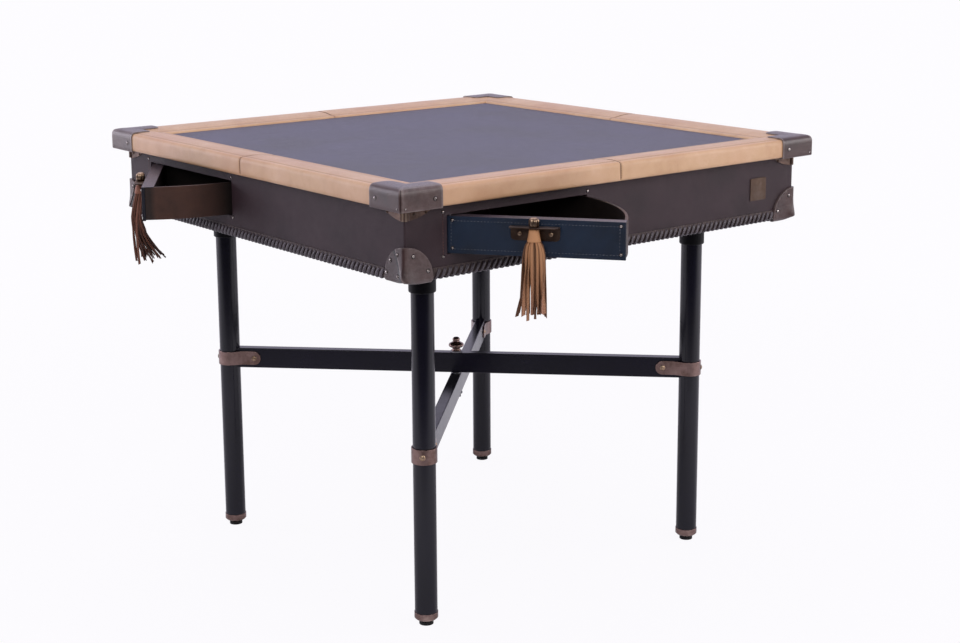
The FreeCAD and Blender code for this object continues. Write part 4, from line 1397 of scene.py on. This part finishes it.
def makePull(side, place, body):
    middle, sheet, top = pivotX + table["drawerRadius"] / 2, pull["sheet"], pull["lipTop"]
    low, corner, bend = top - pull["tall"], pull["corner"], pull["bend"]
    # the strip's middle line: up the plate, round the bend, out along the lip
    plateY, lipZ, lipEnd = faceY - sheet / 2, top - sheet / 2, faceY - pull["lipDepth"]
    path = [(plateY, low), (plateY, low + corner * 0.35), (plateY, low + corner),
            (plateY, top - corner)]
    path += arc(plateY - bend, lipZ - bend, bend, 0, 90, 5)
    path += [(lipEnd + corner, lipZ), (lipEnd + corner * 0.35, lipZ), (lipEnd, lipZ)]
    insets = [corner, corner * 0.24, 0] + [0] * 8 + [corner * 0.24, corner]
    rings = []
    for k, (y, z) in enumerate(path):
        before, after = path[max(k - 1, 0)], path[min(k + 1, len(path) - 1)]
        ahead = Vector((after[0] - before[0], after[1] - before[1])).normalized()
        normal = Vector((ahead.y, -ahead.x)) * sheet / 2
        wide = pull["width"] / 2 - insets[k]
        rings.append([(middle - wide, y - normal.x, z - normal.y),
                      (middle + wide, y - normal.x, z - normal.y),
                      (middle + wide, y + normal.x, z + normal.y),
                      (middle - wide, y + normal.x, z + normal.y)])
    points, faces = loft(rings)
    makePiece("pullPlate_" + side, body, points, faces, "pull", place,
              ["drawer_pull_" + side], sharp=35, bevel=0.5)
    out, down = pull["screws"]
    screws = [spot(place, (middle + d, faceY - sheet, top - down), (0, -1, 0), (0.4, 0, 1))
              for d in (-out, out)]
    grow("pullScrews_" + side, body, "bronze", "screws", screws, Radius=3.4 * mm,
         Rise=1.6 * mm, Finish="brass")
    shape = [(pull["bead"] * r, top + up) for r, up in pull["beadProfile"]]
    points, faces = lathe(shape, middle, faceY - pull["ringOut"], 72, fluted)
    makePiece("pullBead_" + side, body, points, faces, "brass", place,
              ["pull_bead_" + side], sharp=50)


for side in sideAngle:
    for make in (makeFront, makeTray, sewFront, makePull):
        make(side, onDrawer(side), "drawer_" + side)
print("drawers: four fronts, trays, pulls and beads")


# neck: half width, half depth, how far it hangs outwards; spread: half width and depth at the
# tips; lean: how much further out it hangs at the box's foot; sweep: how far its tips curl
# inwards below that
tassel = {
    "front": {"seed": 4, "strips": 22, "reach": 1.0, "finish": "tassel",
              "neck": (9.0, 7.0, 0.6), "spread": (21.5, 8.5), "wide": (4.2, 6.4), "lean": 1.0,
              "sweep": 0.0, "sway": 2.6},
    "right": {"seed": 11, "strips": 18, "reach": 0.86, "finish": "tassel",
              "neck": (8.8, 7.0, 0.4), "spread": (19.0, 7.5), "wide": (4.4, 6.2), "lean": 1.0,
              "sweep": 0.0, "sway": 2.4},
    "back": {"seed": 7, "strips": 19, "reach": 0.97, "finish": "tassel",
             "neck": (9.0, 7.2, 0.4), "spread": (20.5, 8.0), "wide": (4.4, 6.2), "lean": 1.0,
             "sweep": 0.0, "sway": 2.4},
    "left": {"seed": 23, "strips": 30, "reach": 1.03, "finish": "tasselRed",
             "neck": (8.2, 7.2, 2.6), "spread": (15.5, 9.5), "wide": (2.9, 4.4), "lean": 7.5,
             "sweep": 46.0, "sway": 1.0},
}
strips = {
    "top": 700.9, "swing": 692.6, "turns": 8.5, "band": 19.0, "length": 143.0, "thick": 1.3,
    "steps": 16,
    "clear": 7.6,        # the strips stay this near the swing's axis while they hang by the box
    "beside": 646.0,     # from here down they may curl in
    "foot": 612.0,       # below this they hang free of the box
    "tuck": 1.8,         # the strips start this far inside the neck
    "opening": (0.68, 0.07, 0.32),    # they open so much at once, over this part, then the rest
    "ripple": (4.2, 1.1, 5, 1.7),     # turns sideways; depth, turns and shift outwards
    "leanOver": 45.0,    # the heights over which they lean, curl in, and sweep
    "curlOver": 30.0,
    "sweepOver": 52.0,
    "curl": (1.1, 2.5),  # how hollow a strip is, and how fast that turns
    "neckTurn": 3.9,     # where the neck's strap ends, round it
    "neckLap": 0.9,
    # the neck's strap: how far down, how wide for a neck of width 1
    "neckProfile": ((0.0, 0.7), (0.7, 0.79), (2.0, 0.83), (6.0, 0.88), (11.0, 0.97), (16.0, 1.08),
                    (18.4, 1.14), (19.4, 1.12), (19.7, 0.9)),
    # the cut sides of a strip are painted darker than its face, as painted shade, and its tip is
    # cut at a slant
    "sideShades": (0.6, 0.0, 0.6, 0.6, 0.1, 0.6),
    "slantAt": (0.5, 0, -0.5, -0.5, 0, 0.5),
}


def neckBand(middle, axis, neck):
    # a strap rolled round the strips' tops, its outer end lapped; rounded above the swing's
    # axis, to turn under the lip
    rolled, turns = [], 52
    wide, deep, shift = neck
    for down, size in strips["neckProfile"]:
        ring = []
        above = max(strips["top"] - down - strips["swing"], 0.0)
        room = math.sqrt(strips["turns"] ** 2 - above ** 2)
        for i in range(turns):
            a = 2 * math.pi * i / turns + strips["neckTurn"]
            lap = strips["neckLap"] * (1 - i / turns)
            across = (deep * size + lap) * math.sin(a) - shift
            if above > 0:
                across = min(max(across, -room), room)
            ring.append((middle + (wide * size + lap) * math.cos(a), axis + across,
                         strips["top"] - down))
        rolled.append(ring)
    return loft(rolled)


def hangStrip(facts, rnd, n, middle, axis):
    # one strip of leather from the band down: its rings, and its tone
    count, band, steps = facts["strips"], strips["band"], strips["steps"]
    neckX, neckY, shift = facts["neck"]
    inside = n % 4 == 1       # every fourth strip hangs within the others
    angle = 2 * math.pi * (n + rnd.uniform(-0.3, 0.3)) / count
    size = 0.6 if inside else 1.0
    length = strips["length"] * facts["reach"] * rnd.uniform(0.9, 1.0)
    wide, phase = rnd.uniform(*facts["wide"]), rnd.uniform(0, 6.28)
    spreadX = facts["spread"][0] * size * rnd.uniform(0.78, 1.04)
    spreadY = facts["spread"][1] * size * rnd.uniform(0.7, 1.0)
    twist, sway = rnd.uniform(-1.2, 1.2), facts["sway"] * rnd.uniform(-1.0, 1.0)
    # painted shade: the strips within the others are darker; the rest take a random tone
    shade = rnd.uniform(0.6, 1.0) if inside else rnd.choice((0.0, 0.0, 0.1, 0.3, 0.6))
    sweep = facts["sweep"] * (0.06 + 0.94 * ((n * 7) % count) / (count - 1))
    flick = 6.0 if math.cos(angle) < -0.93 and facts["sweep"] == 0 else 0.0
    rings, slant = [], rnd.uniform(-4.0, 4.0)
    tuck, (atOnce, over, later) = strips["tuck"], strips["opening"]
    aside, depth, outwards, moved = strips["ripple"]
    hollow, turning = strips["curl"]
    for k in range(steps + 1):
        t = k / steps
        opened = atOnce * (1 - math.exp(-t / over)) + later * t
        x = ((neckX - tuck) * size * (1 - opened) + spreadX * opened) * math.cos(angle)
        y = ((neckY - tuck) * size * (1 - opened) + spreadY * opened) * math.sin(angle)
        x += sway * t * math.sin(aside * t + phase) - flick * max(t - 0.75, 0.0) * 4
        y += depth * t * math.sin(outwards * t + phase * moved) - shift
        z = strips["top"] - band + 2.0 - (length - band) * t
        y -= facts["lean"] * min((strips["top"] - band - z) / strips["leanOver"], 1.0)
        curled = min(max((strips["beside"] - z) / strips["curlOver"], 0.0), 1.0) ** 1.5
        y = min(y + 0.2 * sweep * curled, strips["clear"])
        below = max(0.0, (strips["foot"] - z) / strips["sweepOver"])
        y += sweep * 0.8 * below ** 1.15
        z += sweep * 0.1 * below ** 2
        turn = angle * (1 - 0.5 * t) + math.pi / 2 + twist * t + (0.5 if inside else 0.0)
        across = Vector((math.cos(turn), 0.6 * math.sin(turn), 0)).normalized()
        normal = Vector((-across.y, across.x, 0))
        w = wide * (0.6 + 0.4 * min(t * 5, 1.0)) / 2
        h, curl = strips["thick"] / 2, hollow * math.sin(phase + turning * t)
        here = Vector((middle + x, axis + y, z))
        ring = [here - across * w - normal * (h - curl), here - normal * h * 1.1,
                here + across * w - normal * (h - curl), here + across * w + normal * (h + curl),
                here + normal * h * 0.9, here - across * w + normal * (h + curl)]
        if k == steps:
            ring = [p + Vector((0, 0, slant * s)) for p, s in zip(ring, strips["slantAt"])]
        rings.append(ring)
    return rings, max(shade, 0.9 if flick else 0.0)


def makeTassel(side):
    facts = tassel[side]
    rnd = random.Random(facts["seed"])
    middle, axis = pivotX + table["drawerRadius"] / 2, faceY - pull["ringOut"]
    band = neckBand(middle, axis, facts["neck"])
    shells, toneAndShade, tips = [band], [0.0] * len(band[0]), [0.0] * len(band[0])
    for n in range(facts["strips"]):
        rings, shade = hangStrip(facts, rnd, n, middle, axis)
        shells.append(loft(rings))
        for k, ring in enumerate(rings):
            toneAndShade += [min(1.0, shade + s) for s in strips["sideShades"]]
            tip = (k / strips["steps"]) ** 1.5 * (0.6 + 0.4 * ((n * 5) % 3) / 2)
            tips += [tip] * len(ring)
    points, faces = gather(shells)
    makePiece("tasselStrips_" + side, "tassel_swing_" + side, points, faces,
              facts["finish"], onDrawer(side), ["tassel_" + side], sharp=45,
              layers={"strip": toneAndShade, "tip": tips})


for side in sideAngle:
    makeTassel(side)
print("tassels: four")


# the knob on the fold's bolt: radius, height over its foot
knob = {
    "foot": 356.2,
    "profile": [(5.2, 0), (8.2, 0), (8.6, 0.8), (7.6, 2.4), (7.0, 4.2), (8.4, 5.6), (11.6, 7.0),
                (13.6, 8.6), (14.2, 10.4), (13.9, 12.2), (12.4, 13.9), (9.6, 15.4), (7.2, 16.8),
                (6.2, 18.4), (6.6, 19.8), (7.0, 21.4), (6.3, 23.4), (4.6, 25.0), (2.4, 25.8),
                (0.2, 26.0)],
}


def makeKnob():
    line = smoothed([Vector((r, z)) for r, z in knob["profile"]], 3)
    points, faces = lathe([(max(p.x, 0.2), knob["foot"] + p.y) for p in line], 0, 0, 48)
    makePiece("finialKnob", "knob", points, faces, "bronze", replaces=["finial_knob"],
              sharp=50)


makeKnob()
print("knob: one")
